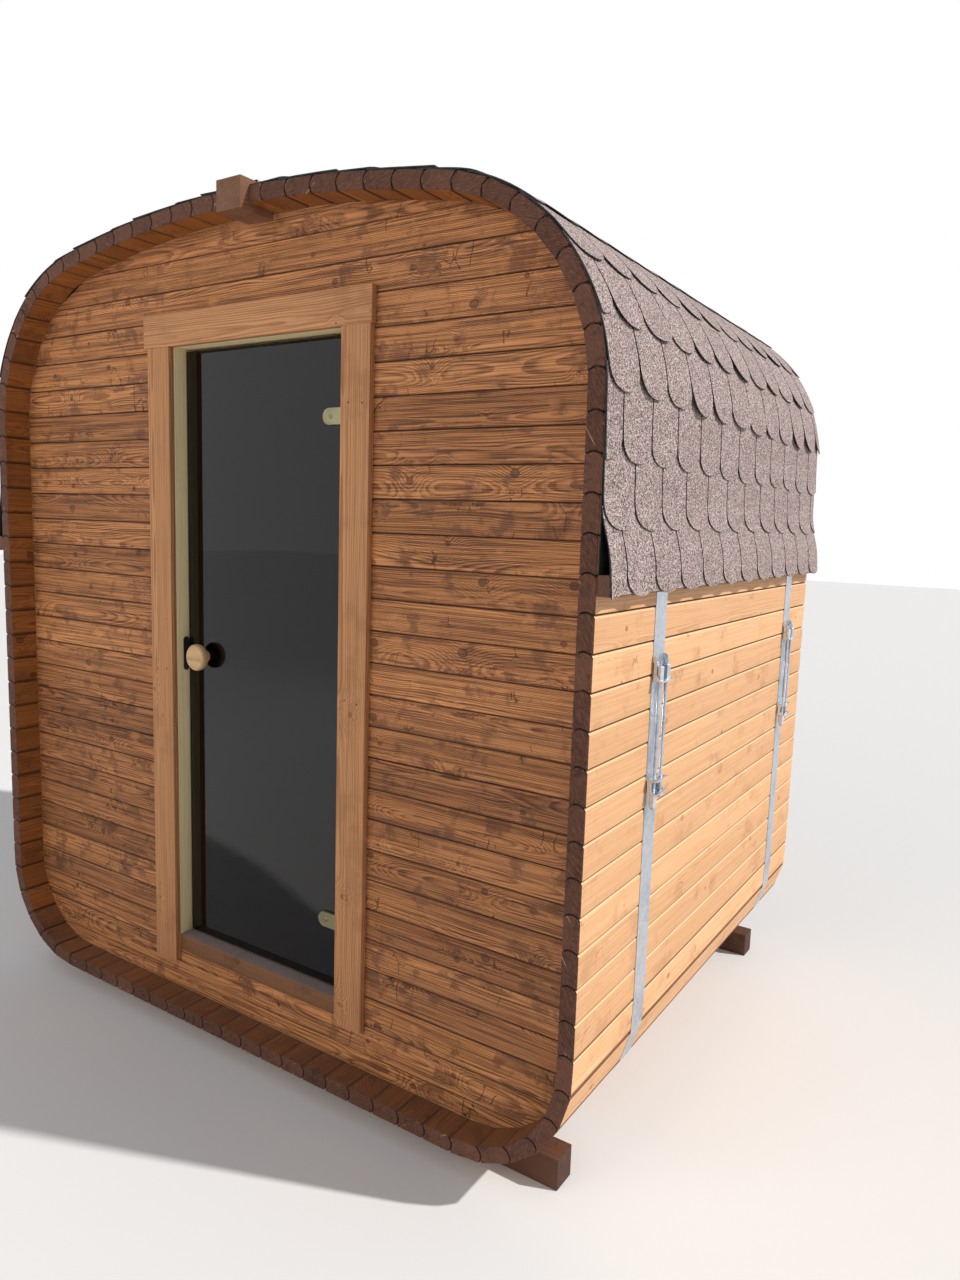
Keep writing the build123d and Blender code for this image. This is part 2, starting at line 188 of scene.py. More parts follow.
class Workbench:
    def __init__(self, seed):
        self.draw = random.Random(seed)
        self.points = []
        self.faces = []
        self.finish = []
        self.timber = []
        self.seeds = []

    def add(self, points, faces, finish, timber, seed=None):
        start = len(self.points)
        if seed is None:
            seed = self.draw.random() * 100
        self.points += [tuple(p) for p in points]
        self.timber += [tuple(t) for t in timber]
        self.seeds += [seed] * len(points)
        self.faces += [tuple(start + i for i in f) for f in faces]
        self.finish += finish

    def sweep(self, rings, timber, seed=None, side=0, end=1):
        """Joins rings of equal length into a closed bar."""
        n = len(rings[0])
        points = [p for ring in rings for p in ring]
        faces, finish = [], []
        for k in range(len(rings) - 1):
            for i in range(n):
                j = (i + 1) % n
                faces.append((k * n + i, k * n + j, (k + 1) * n + j, (k + 1) * n + i))
                finish.append(side(k, i) if callable(side) else side)
        faces += [tuple(range(n))[::-1], tuple(range((len(rings) - 1) * n, len(rings) * n))]
        finish += [end, end]
        self.add(points, faces, finish, [timber(p) for p in points], seed)

    def block(self, lo, hi, along, edge):
        """A planed block with eased edges; along is the axis of the grain."""
        form = bmesh.new()
        bmesh.ops.create_cube(form, size=1.0)
        size = [h - l for l, h in zip(lo, hi)]
        middle = [(l + h) / 2 for l, h in zip(lo, hi)]
        for v in form.verts:
            v.co = Vector(m + c * s for m, c, s in zip(middle, v.co, size))
        bmesh.ops.bevel(form, geom=form.edges[:], offset=edge * MM, segments=2, profile=0.6,
                        affect="EDGES", clamp_overlap=True)
        form.normal_update()
        form.verts.index_update()
        order = {"x": (0, 2, 1), "y": (1, 0, 2), "z": (2, 0, 1)}[along]
        points = [v.co.copy() for v in form.verts]
        faces = [tuple(v.index for v in f.verts) for f in form.faces]
        finish = [int(abs(f.normal[order[0]]) > 0.9) for f in form.faces]
        timber = [tuple(p[a] - middle[a] for a in order) for p in points]
        form.free()
        self.add(points, faces, finish, timber)

    def build(self, name, materials, body, slot, replaced=(), smooth=35):
        mesh = bpy.data.meshes.new(name)
        mesh.from_pydata(self.points, [], self.faces)
        mesh.polygons.foreach_set("material_index", self.finish)
        mesh.attributes.new("timber", "FLOAT_VECTOR", "POINT").data.foreach_set(
            "vector", [c for t in self.timber for c in t])
        mesh.attributes.new("piece", "FLOAT", "POINT").data.foreach_set("value", self.seeds)
        turned_out = bmesh.new()
        turned_out.from_mesh(mesh)
        bmesh.ops.recalc_face_normals(turned_out, faces=turned_out.faces[:])
        turned_out.to_mesh(mesh)
        turned_out.free()
        mesh.polygons.foreach_set("use_smooth", [True] * len(mesh.polygons))
        mesh.set_sharp_from_angle(angle=math.radians(smooth))
        for material in materials:
            mesh.materials.append(material)
        piece = add_object(name, mesh)
        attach(piece, body)
        if replaced:
            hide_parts(*replaced)
        mesh.calc_loop_triangles()
        print(name, "triangles:", len(mesh.loop_triangles))


# %% [markdown]
# ## Shader helpers
# Node trees get long, so a small helper adds nodes and joins sockets. A signal is a socket that can be
# added and multiplied like a number, and each sign becomes one math node, so a recipe reads as sums.
# Effects that several finishes share become node groups; the shader itself stays in each material.

# %% Helper that wires nodes


def sign(operation, swapped=False):
    def apply(self, other):
        return self.wiring.math(operation, *((other, self) if swapped else (self, other)))
    return apply


class Signal:
    def __init__(self, wiring, socket):
        self.wiring = wiring
        self.socket = socket

    __add__, __radd__ = sign("ADD"), sign("ADD", True)
    __sub__, __rsub__ = sign("SUBTRACT"), sign("SUBTRACT", True)
    __mul__, __rmul__ = sign("MULTIPLY"), sign("MULTIPLY", True)
    __truediv__, __rtruediv__ = sign("DIVIDE"), sign("DIVIDE", True)
    __pow__ = sign("POWER")


class Wiring:
    def __init__(self, tree):
        self.tree = tree

    def node(self, kind, inputs=(), **settings):
        """Adds a node, feeds its inputs by place or by name, and gives its outputs by both."""
        made = self.tree.nodes.new(kind)
        for key, value in settings.items():
            setattr(made, key, value)
        for key, value in inputs.items() if isinstance(inputs, dict) else enumerate(inputs):
            if isinstance(value, Signal):
                self.tree.links.new(value.socket, made.inputs[key])
            elif value is not None:
                made.inputs[key].default_value = value
        return {key: Signal(self, socket) for place, socket in enumerate(made.outputs)
                for key in (place, socket.name)}

    def math(self, operation, *values, clamp=False):
        return self.node("ShaderNodeMath", values, operation=operation, use_clamp=clamp)[0]

    def vector(self, operation, a, b=None, scale=None):
        return self.node("ShaderNodeVectorMath", {0: a, 1: b, "Scale": scale}, operation=operation)[0]

    def spread(self, place, by, shift):
        """Stretches a place, by one number or by one for each direction, and moves it."""
        if isinstance(by, tuple):
            return self.vector("ADD", self.vector("MULTIPLY", place, by), shift)
        return self.vector("ADD", self.vector("SCALE", place, scale=by), shift)

    def band(self, value, low, high, to_low=0.0, to_high=1.0):
        return self.node("ShaderNodeMapRange", (value, low, high, to_low, to_high),
                         interpolation_type="SMOOTHSTEP")[0]

    def noise(self, place, scale, detail=2.0, roughness=0.5, output=0):
        return self.node("ShaderNodeTexNoise", {"Vector": place, "Scale": scale, "Detail": detail,
                                                "Roughness": roughness})[output]

    def cells(self, place, scale=1.0, feature="F1"):
        return self.node("ShaderNodeTexVoronoi", {"Vector": place, "Scale": scale}, feature=feature)

    def lot(self, number):
        """Three numbers drawn by lot, always the same for the same piece."""
        return self.node("ShaderNodeTexWhiteNoise", {"W": number}, noise_dimensions="1D")["Color"]

    def mix(self, factor, a, b, blend="MIX"):
        a, b = (colour if isinstance(colour, Signal) else (*colour, 1.0) for colour in (a, b))
        return self.node("ShaderNodeMix", {0: factor, 6: a, 7: b}, data_type="RGBA", blend_type=blend)[2]

    def split(self, vector):
        parts = self.node("ShaderNodeSeparateXYZ", (vector,))
        return parts[0], parts[1], parts[2]

    def join(self, x, y, z):
        return self.node("ShaderNodeCombineXYZ", (x, y, z))[0]

    def attribute(self, name, output):
        return self.node("ShaderNodeAttribute", attribute_name=name)[output]

    def object_place(self):
        return self.node("ShaderNodeTexCoord")["Object"]

    def group(self, tree, **inputs):
        return self.node("ShaderNodeGroup", {key.replace("_", " "): value for key, value in inputs.items()},
                         node_tree=tree)

    def give(self, **results):
        """Ends a node group: each result becomes a named output."""
        labels = {key.replace("_", " "): value for key, value in results.items()}
        for label in labels:
            self.tree.interface.new_socket(label, in_out="OUTPUT", socket_type="NodeSocketFloat")
        self.node("NodeGroupOutput", labels)
        print("group:", self.tree.name, "nodes:", len(self.tree.nodes))

    def surface(self, colour, rough, height=None, relief=0.0, **sockets):
        """Ends a material: its shader, with a bump of the given relief where there is a height."""
        inputs = {"Base Color": colour, "Roughness": rough}
        inputs.update({key.replace("_", " "): value for key, value in sockets.items()})
        if height:
            inputs["Normal"] = self.node("ShaderNodeBump", {"Distance": relief, "Height": height})[0]
        shader = self.node("ShaderNodeBsdfPrincipled", inputs)[0]
        self.node("ShaderNodeOutputMaterial", {"Surface": shader})


def effect(name, **numbers):
    """Starts a node group that takes a place and some numbers, each given with its usual value."""
    tree = bpy.data.node_groups.new(name, "ShaderNodeTree")
    tree.interface.new_socket("Place", in_out="INPUT", socket_type="NodeSocketVector")
    for key, usual in numbers.items():
        tree.interface.new_socket(key.replace("_", " "), in_out="INPUT",
                                  socket_type="NodeSocketFloat").default_value = usual
    wiring = Wiring(tree)
    return tree, wiring, wiring.node("NodeGroupInput")


def blank_material(name):
    material = bpy.data.materials.new(name)
    material.use_nodes = True
    material.node_tree.nodes.clear()
    return material, Wiring(material.node_tree)


# %% [markdown]
# ## Timber figure
# Softwood shows year rings. On a flat sawn face the rings are cut at a slant, which draws long
# arches; on the end they are circles. Both come from one field, the distance from the pith, bent by
# slow noise. Knots are rare, so a cell pattern places them and the rings bend round each one.

# %% Node group: timber figure
KNOT_ROWS = 9.0

timber_figure, w, entry = effect("timber_figure", Piece=0.0, Ring_Pitch=0.0034, Knot_Spacing=0.34,
                                 Knot_Size=0.009, Wander=0.012)
place = entry["Place"]
lot = w.lot(entry["Piece"])
chance = w.split(lot)
shift = w.vector("SCALE", lot, scale=37.0)
along, across, depth = w.split(place)
# slow bending of the rings along the piece, and a tighter waver
bend = w.noise(w.spread(place, (1.6, 6.0, 6.0), shift), 1.0, 2.0, 0.45) - 0.5
waver = w.noise(w.spread(place, (8.0, 36.0, 36.0), shift), 1.0, 2.0, 0.5) - 0.5
# knots, as pins through the thickness with an uneven outline
cell_place = w.vector("ADD", w.join(along / entry["Knot Spacing"], across * KNOT_ROWS, 0.0), shift)
cell = w.cells(cell_place)
gap = w.split(w.vector("SUBTRACT", cell_place, cell["Position"]))
reach = w.math("SQRT", (gap[0] * entry["Knot Spacing"] * 0.8) ** 2.0 + (gap[1] / KNOT_ROWS) ** 2.0)
cell_chance = w.split(cell["Color"])
there = w.math("GREATER_THAN", cell_chance[0], 0.42)
knot_size = entry["Knot Size"] * (0.4 + cell_chance[1])
near = reach / knot_size * (0.75 + w.noise(place, 90.0, 2.0, 0.6) * 0.5)
knots = there * w.band(near, 0.8, 0.95, 1.0, 0.0)
rim = there * (w.band(near, 0.74, 0.92) * w.band(near, 1.0, 1.3, 1.0, 0.0))
push = there * w.math("EXPONENT", near ** 1.5 * -0.10)
# distance from the pith, measured in rings
pith_across = (chance[0] - 0.5) * 0.11
pith_depth = chance[1] * 0.05 + 0.012
radius = w.math("SQRT", (across - pith_across) ** 2.0 + (depth + pith_depth) ** 2.0)
radius = radius + bend * (entry["Wander"] * 2.0) + waver * 0.0026
turn = w.math("FRACT", radius / entry["Ring Pitch"] + push * 5.0)
rings = w.band(turn, 0.0, 0.88) ** 2.2 * w.band(turn, 0.9, 1.0, 1.0, 0.0)
rings = w.math("MULTIPLY", rings, 1.15 + bend * 2.4, clamp=True)
rings = rings * (1.0 - knots) + w.math("FRACT", near * 4.0) * knots
# fibre streaks
fine = w.noise(w.spread(place, (5.0, 300.0, 300.0), shift), 1.0, 2.0, 0.6)
broad = w.noise(w.spread(place, (2.4, 150.0, 150.0), shift), 1.0, 2.0, 0.55)
fibre = w.band(fine * 0.5 + broad * 0.5, 0.38, 0.58)
w.give(Rings=rings, Fibre=fibre, Knots=knots, Knot_Rim=rim, Height=rings * 0.55 + fibre * 0.45 - rim * 0.5,
       Tone=chance[2])

# %% [markdown]
# ## Uneven stain
# Stain soaks in unevenly. Clouds mark where more of it stayed, other patches where the wood is rubbed
# bare, a fine speckle goes with greyed wood, and short lines across the grain are checks. Each of them
# goes out as a plain mask.

# %% Node group: uneven stain
uneven_stain, w, entry = effect("uneven_stain", Piece=0.0, Cloud_Size=0.12)
place = entry["Place"]
shift = w.vector("SCALE", w.lot(entry["Piece"] + 3.7), scale=23.0)
clouds = w.band(w.noise(w.spread(place, 1.0 / entry["Cloud Size"], shift), 1.0, 4.0, 0.62), 0.54, 0.65)
other = w.spread(place, (11.0, 20.0, 20.0), w.vector("SCALE", shift, scale=1.7))
bare = w.band(w.noise(other, 1.0, 3.0, 0.5), 0.62, 0.74)
specks = w.band(w.noise(w.vector("ADD", place, shift), 240.0, 4.0, 0.7), 0.5, 0.7)
# checks are cell borders, bent a little and let through in a few places only
wobble = w.vector("SUBTRACT", w.noise(place, 60.0, 1.0, output="Color"), (0.5, 0.5, 0.5))
web = w.vector("ADD", w.spread(place, (21.0, 11.0, 0.0), shift), w.vector("SCALE", wobble, scale=0.22))
border = w.cells(web, feature="DISTANCE_TO_EDGE")["Distance"]
gate = w.band(w.noise(w.spread(place, 9.0, shift), 1.0, 2.0, 0.5), 0.615, 0.65)
w.give(Clouds=clouds, Bare=bare, Specks=specks, Checks=w.band(border, 0.010, 0.030, 1.0, 0.0) * gate)

# %% [markdown]
# ## Saw marks on cut ends
# A docked end shows the slanting strokes of the saw, and here and there a pale splintered scratch
# where the stain was knocked off later. Both are noise stretched along the stroke.

# %% Node group: saw marks
STROKE_ALONG = 0.85
STROKE_ASIDE = 0.53

saw_marks, w, entry = effect("saw_marks", Piece=0.0)
along, across, depth = w.split(entry["Place"])
with_stroke = across * STROKE_ALONG + depth * STROKE_ASIDE
over_stroke = depth * STROKE_ALONG - across * STROKE_ASIDE
strokes = w.noise(w.join(with_stroke * 60.0, over_stroke * 420.0, entry["Piece"]), 1.0, 2.0, 0.6)
scratches = w.noise(w.join(with_stroke * 14.0, over_stroke * 130.0, entry["Piece"] * 1.7), 1.0, 1.0, 0.5)
w.give(Strokes=w.band(strokes, 0.42, 0.62), Scratches=w.band(scratches, 0.735, 0.76))

# %% [markdown]
# ## Wooden finishes
# All wooden finishes share one recipe: light and dark wood mixed by the rings and fibre, stain clouds
# laid over, knots on top, and a bump from the same field so light catches the brushed grain. What
# changes is the colours and how strongly each part speaks, so one function builds them all.

# %% Recipe for a wooden finish
SPLINTER = (0.50, 0.30, 0.18)


def timber_finish(name, light, dark, deep, knot, tone_shift=0.16, stain=0.5, rough=0.62, relief=0.0006,
                  ring_mix=0.55, fibre_mix=0.3, pitch=0.0034, wander=0.012, knot_size=0.009, spacing=0.34,
                  cloud=0.12, bare=0.0, checks=0.0, edge_shade=None, weathered=None, sawn=None,
                  lit_bevel=None):
    material, w = blank_material(name)
    where = {"Place": w.attribute("timber", "Vector"), "Piece": w.attribute("piece", "Fac")}
    wood = w.group(timber_figure, **where, Ring_Pitch=pitch, Wander=wander, Knot_Size=knot_size,
                   Knot_Spacing=spacing)
    patch = w.group(uneven_stain, **where, Cloud_Size=cloud)
    darkness = w.math("ADD", wood["Rings"] * ring_mix, (1.0 - wood["Fibre"]) * fibre_mix, clamp=True)
    colour = w.mix(patch["Clouds"] * stain, w.mix(darkness, light, dark), deep)
    if bare:
        colour = w.mix(patch["Bare"] * bare, colour, light)
    bright = (1.0 - tone_shift) + wood["Tone"] * (2 * tone_shift)
    colour = w.mix(1.0, colour, w.join(bright, bright ** 1.15, bright ** 1.25), "MULTIPLY")
    colour = w.mix(wood["Knots"] * 0.55, colour, knot)
    colour = w.mix(wood["Knot Rim"] * 0.75, colour, knot)
    height = wood["Height"]
    if sawn:
        saw = w.group(saw_marks, **where)
        colour = w.mix(saw["Strokes"] * 0.45, colour, sawn)
        colour = w.mix(saw["Scratches"] * 0.6, colour, SPLINTER)
        height = height + saw["Strokes"]
    if checks:
        open_grain = patch["Checks"] * checks
        colour = w.mix(open_grain, colour, knot)
        height = height - open_grain
    if edge_shade or lit_bevel:
        rise = w.split(where["Place"])[1]
    if edge_shade:
        # painted shade: the strip along each long edge of a board or stave darkens towards the knot colour,
        # where the joint lies in shade
        start, stop, amount = edge_shade
        colour = w.mix(w.band(w.math("ABSOLUTE", rise), start, stop, 0.0, amount), colour, knot)
    if lit_bevel:
        # painted highlight on the upper bevel, where the sun would catch it, and painted shade in the V-joint
        # beyond either bevel
        bevel = w.band(rise, 0.0345, 0.0352) * w.band(rise, 0.0387, 0.0395, 0.6, 0.0)
        groove_shade = w.math("MAXIMUM", w.band(rise, 0.0388, 0.0398, 0.0, 0.95),
                        w.band(rise * -1.0, 0.0426, 0.0433, 0.0, 0.95))
        colour = w.mix(groove_shade, w.mix(bevel, colour, lit_bevel), knot)
    if weathered:
        up = w.split(w.node("ShaderNodeNewGeometry")["Normal"])[2]
        colour = w.mix(w.band(up, 0.6, 0.9) * (0.5 + patch["Specks"] * 0.45), colour, weathered)
    w.surface(colour, (rough - 0.08) + wood["Height"] * 0.16, height, relief, Specular_IOR_Level=0.3)
    return material


# the outer staves get a painted highlight on the upper bevel and painted shade in the V-joints between staves
stave_face = timber_finish("stave_face", (0.76, 0.445, 0.235), (0.53, 0.260, 0.110), (0.47, 0.22, 0.100),
                           (0.16, 0.058, 0.022), stain=0.4, ring_mix=0.45, fibre_mix=0.4, spacing=0.5,
                           tone_shift=0.09, relief=0.0004, knot_size=0.006, checks=0.45, rough=0.6,
                           lit_bevel=(0.95, 0.66, 0.38))
stave_end = timber_finish("stave_end", (0.150, 0.059, 0.034), (0.054, 0.020, 0.013), (0.036, 0.014, 0.010),
                          (0.03, 0.012, 0.009), stain=0.6, ring_mix=0.6, fibre_mix=0.4, cloud=0.03,
                          rough=0.78, relief=0.0009, tone_shift=0.34, checks=0.5, sawn=(0.235, 0.104, 0.060))
# near black finish for the joint faces at the stave ends: painted shade in the narrow gaps between staves
joint_shade = timber_finish("joint_shade", (0.034, 0.014, 0.009), (0.018, 0.008, 0.006),
                            (0.014, 0.006, 0.005), (0.01, 0.005, 0.004), stain=0.5, rough=0.85,
                            tone_shift=0.1)
# stave_soffit carries painted shade along the edges of each stave
stave_soffit = timber_finish("stave_soffit", (0.37, 0.130, 0.027), (0.160, 0.048, 0.011),
                             (0.100, 0.032, 0.010), (0.05, 0.018, 0.009), ring_mix=0.5, fibre_mix=0.5,
                             relief=0.0008, checks=0.4, edge_shade=(0.036, 0.042, 0.7),
                             weathered=(0.115, 0.062, 0.042))
inside_face = timber_finish("inside_face", (0.62, 0.46, 0.26), (0.48, 0.31, 0.15), (0.45, 0.30, 0.16),
                            (0.26, 0.13, 0.06), stain=0.2, ring_mix=0.45, fibre_mix=0.3, spacing=0.5,
                            tone_shift=0.06, relief=0.0003)
# board_face carries painted shade along the long edges of each board
board_face = timber_finish("board_face", (0.555, 0.228, 0.080), (0.083, 0.024, 0.0085), (0.100, 0.034, 0.018),
                           (0.045, 0.014, 0.007), stain=0.62, ring_mix=0.46, fibre_mix=0.70, pitch=0.0036,
                           wander=0.026, knot_size=0.0080, spacing=0.32, tone_shift=0.29, relief=0.0015,
                           rough=0.60, cloud=0.095, bare=0.6, checks=0.85, edge_shade=(0.0390, 0.0436, 0.6))
trim_face = timber_finish("trim_face", (0.56, 0.272, 0.116), (0.29, 0.116, 0.043), (0.26, 0.108, 0.042),
                          (0.10, 0.04, 0.016), stain=0.4, ring_mix=0.55, fibre_mix=0.5, spacing=0.55,
                          pitch=0.0050, relief=0.0005, tone_shift=0.06, knot_size=0.005, cloud=0.2)
sill_face = timber_finish("sill_face", (0.24, 0.105, 0.046), (0.13, 0.053, 0.024), (0.11, 0.046, 0.024),
                          (0.08, 0.035, 0.016), stain=0.5, spacing=0.9, relief=0.0005, tone_shift=0.05,
                          weathered=(0.27, 0.26, 0.27))
pale_face = timber_finish("pale_face", (0.84, 0.69, 0.40), (0.66, 0.50, 0.27), (0.60, 0.46, 0.26),
                          (0.36, 0.21, 0.10), stain=0.2, ring_mix=0.5, fibre_mix=0.4, spacing=0.9,
                          relief=0.0002, tone_shift=0.04, knot_size=0.004)
beam_face = timber_finish("beam_face", (0.24, 0.108, 0.052), (0.13, 0.053, 0.026), (0.10, 0.042, 0.024),
                          (0.05, 0.02, 0.012), stain=0.5, spacing=0.6, relief=0.0009, rough=0.70,
                          tone_shift=0.10, checks=0.5)
# darker copies of beam_face and beam_end: painted shade for the foot beams under the cabin
shaded_foot_face = timber_finish("shaded_foot_face", (0.140, 0.062, 0.034), (0.075, 0.031, 0.017), (0.055, 0.024, 0.015),
                          (0.03, 0.012, 0.008), stain=0.6, spacing=0.6, relief=0.0009, rough=0.75,
                          tone_shift=0.10, checks=0.6)
shaded_foot_end = timber_finish("shaded_foot_end", (0.085, 0.040, 0.027), (0.045, 0.020, 0.014), (0.035, 0.016, 0.012),
                         (0.02, 0.009, 0.007), stain=0.5, rough=0.8, relief=0.0007, tone_shift=0.08,
                         cloud=0.05, checks=0.9, sawn=(0.110, 0.052, 0.036))
beam_end = timber_finish("beam_end", (0.215, 0.100, 0.052), (0.115, 0.050, 0.027), (0.10, 0.044, 0.026),
                         (0.05, 0.02, 0.012), stain=0.4, rough=0.75, relief=0.0007, tone_shift=0.06,
                         cloud=0.05, checks=0.9, sawn=(0.30, 0.150, 0.082))
# a darker copy of beam_end: painted shade for the batten ends, which sit under the eaves
batten_end_shade = timber_finish("batten_end_shade", (0.150, 0.070, 0.046), (0.080, 0.035, 0.024), (0.060, 0.027, 0.019),
                         (0.03, 0.013, 0.01), stain=0.5, rough=0.78, relief=0.0007, tone_shift=0.08,
                         cloud=0.05, checks=0.9, sawn=(0.180, 0.087, 0.056))
knob_face = timber_finish("knob_face", (0.62, 0.40, 0.20), (0.40, 0.235, 0.11), (0.40, 0.24, 0.12),
                          (0.2, 0.1, 0.05), stain=0.12, ring_mix=0.7, fibre_mix=0.3, pitch=0.0042,
                          knot_size=0.001, relief=0.0003, tone_shift=0.03, rough=0.5)
print("wooden finishes: 15")

# %% [markdown]
# ## Staves with ball and cove joints
# Each stave has one rounded edge, the ball, that sits in the hollowed edge of its neighbour, so the
# ring can turn round a corner without opening. The ball points up the walls, where rain runs off it.
# The joint is drawn once as a curve through the thickness, and both neighbours take it with a hair's
# gap, so they seat along their whole depth.

# %% One joint as a curve through the thickness
BALL = 8.0
OUTER_BEVEL = 4.2
INNER_BEVEL = 2.6
JOINT_GAP = 1.5
DEPTHS = [0, 4.2, 7.4, 11, 15, 19, 23, 27, 31, 35, 38.5, 41.4, 44]


def joint_curve(s, side, beam=None):
    """Points from the outer to the inner face, each with the direction of travel along the outline,
    how far the ball stands out there and how far the bevel eases it; against the beam it is flat."""
    x, z, a = outline(abs(s))
    flip = side if s >= 0 else -side
    normal = (math.cos(a) * flip, math.sin(a))
    travel = (-math.sin(a) * flip, math.cos(a))
    if s < 0:
        travel = (-travel[0], -travel[1])
    # the left end of the floor turns its ball round, to suit the corner that climbs from it
    ball = -BALL if s == -floor_last else BALL
    curve = []
    for d in DEPTHS:
        ease = max(0.0, OUTER_BEVEL - d, INNER_BEVEL - (STAVE - d))
        if beam is None:
            swell = ball * math.sin(math.pi * d / STAVE)
            curve.append((x * flip - normal[0] * d, z - normal[1] * d, travel, swell, ease))
        else:
            curve.append((beam, z - normal[1] * d, (-side, 0.0), 0.0, ease))
    return curve


def stave_section(lower, upper):
    """Closed outline of one stave between two joints, in millimetres."""
    def edge(curve, inward):
        return [(x + t[0] * (swell + inward * (JOINT_GAP / 2 + ease)),
                 z + t[1] * (swell + inward * (JOINT_GAP / 2 + ease))) for x, z, t, swell, ease in curve]
    return edge(upper, -1) + edge(lower, 1)[::-1]


print("joint drawn with", len(DEPTHS), "points, ball", BALL, "mm proud")

# %% Staves of every run
END_EASE = 2.0
WALL_PLANE = 851.0
OUTSIDE, SAWN_END, OVERHANG, INDOORS, JOINT_SHADE = 0, 1, 2, 3, 4
JOINT_EDGES = set(range(2 * len(DEPTHS))) - {len(DEPTHS) - 1, 2 * len(DEPTHS) - 1}
INNER_EDGES = range(7, 18)
STATIONS = ((-HALF_LENGTH, 1), (-HALF_LENGTH + END_EASE, 0), (-WALL_PLANE, 0), (WALL_PLANE, 0),
            (HALF_LENGTH - END_EASE, 0), (HALF_LENGTH, 1))


def stave_zone(stretch, edge):
    """Finish of one strip of a stave: its place along the stave and round its section."""
    if stretch in (0, 4):
        # the joint faces in the eased end strips get painted shade, the rest of the end its sawn finish
        return JOINT_SHADE if edge in JOINT_EDGES else SAWN_END
    if edge in INNER_EDGES:
        return INDOORS if stretch == 2 else OVERHANG
    return OUTSIDE


def lay_staves(name, joints, side, node, seed, beam):
    bench = Workbench(seed)
    for i in range(len(joints) - 1):
        lower = joint_curve(joints[i], side)
        upper = joint_curve(joints[i + 1], side, beam if i == len(joints) - 2 else None)
        section = stave_section(lower, upper)
        cx = sum(p[0] for p in section) / len(section)
        cz = sum(p[1] for p in section) / len(section)
        across = Vector((upper[0][0] - lower[0][0], upper[0][1] - lower[0][1])).normalized()
        inward = Vector((-across[1], across[0]))
        if inward.dot(Vector((lower[-1][0] - lower[0][0], lower[-1][1] - lower[0][1]))) < 0:
            inward = -inward
        rings = []
        for y, tuck in STATIONS:
            shrink_u = 1 - tuck * 2 * END_EASE / COVER
            shrink_v = 1 - tuck * 2 * END_EASE / STAVE
            ring = []
            for x, z in section:
                rel = Vector((x - cx, z - cz))
                rel = across * rel.dot(across) * shrink_u + inward * rel.dot(inward) * shrink_v
                ring.append((MM * (cx + rel[0]), MM * y, MM * (cz + rel[1])))
            rings.append(ring)

        def timber_place(p):
            rel = Vector((p[0] / MM - cx, p[2] / MM - cz))
            return p[1], rel.dot(across) * MM, rel.dot(inward) * MM

        bench.sweep(rings, timber_place, side=stave_zone)
    bench.build(name, [stave_face, stave_end, stave_soffit, inside_face, joint_shade], "cabin", "stave_wood",
                [node])


for seed, (run, joints, side, node, beam) in enumerate((
        ("floor", floor_joints, 1, "floor_staves", None),
        ("low_right", low_joints, 1, "lower_corner_right", None),
        ("low_left", low_joints, -1, "lower_corner_left", None),
        ("side_right", side_joints, 1, "side_staves_right", None),
        ("side_left", side_joints, -1, "side_staves_left", None),
        ("up_right", up_right, 1, "upper_corner_right", None),
        ("up_left", up_left, -1, "upper_corner_left", None),
        ("roof_right", arch_right, 1, "roof_staves_right", BEAM_RIGHT),
        ("roof_left", arch_left, -1, "roof_staves_left", -BEAM_LEFT)), 11):
    lay_staves("staves_" + run, joints, side, node, seed, beam)

# %% [markdown]
# ## End walls of boards
# The end walls are horizontal boards let into the ring, brushed so that the hard rings stand proud.
# A board's ends follow the curve of the ring, so each point of its profile looks up how far the ring
# reaches at its own height. Long edges are bevelled and a tongue closes the joint behind a thin slot.

# %% Inner outline of the ring


def inner_outline(upper, arch, side, beam):
    """Inner face of the ring on one side, from the middle of the floor to the beam."""
    points = [(0.0, UNDERSIDE + STAVE)]
    for s in low_joints[:-1] + side_joints[:-1] + upper[:-1] + arch:
        x, z, a = outline(s)
        points.append((side * (x - math.cos(a) * STAVE), z - math.sin(a) * STAVE))
    points[-1] = (beam, points[-1][1])
    return points


def reach_at(points, z):
    """How far the inner outline reaches sideways at height z."""
    return max((x0 + (x1 - x0) * (z - z0) / (z1 - z0) for (x0, z0), (x1, z1) in zip(points, points[1:])
                if z0 <= z <= z1 and z1 > z0), key=abs)


inner_right = inner_outline(up_right, arch_right, 1, BEAM_RIGHT)
inner_left = inner_outline(up_left, arch_left, -1, -BEAM_LEFT)
print("inside width:", round(reach_at(inner_right, 1200) - reach_at(inner_left, 1200)), "mm")

# %% Boards of the front and back walls
FRONT = -851.0
WALL = 44.0
BOARD_PITCH = 88.56
BOARD_BASE = 246.0
BOARD_BEVEL = 2.2
SLOT = 0.7
SLOT_DEPTH = 8.0
ARCH_FROM = 2300.0
LEVELS = 4
ARCH_LEVELS = 14
RING_TOP = min(inner_left[-1][1], inner_right[-1][1]) - 0.2
RING_FOOT = inner_left[1][1] + 0.2
glass_lo, glass_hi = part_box("door_glass")
sill_lo, sill_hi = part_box("door_sill")
jamb_l_lo, jamb_l_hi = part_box("door_jamb_left")
jamb_r_lo, jamb_r_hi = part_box("door_jamb_right")
ridge_lo, ridge_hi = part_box("ridge_beam")
DOORWAY = (jamb_l_lo[0] / MM, jamb_r_hi[0] / MM, sill_lo[2] / MM, jamb_l_hi[2] / MM)
BEAM_NOTCH = (ridge_lo[0] / MM, ridge_hi[0] / MM, ridge_lo[2] / MM, ridge_hi[2] / MM)


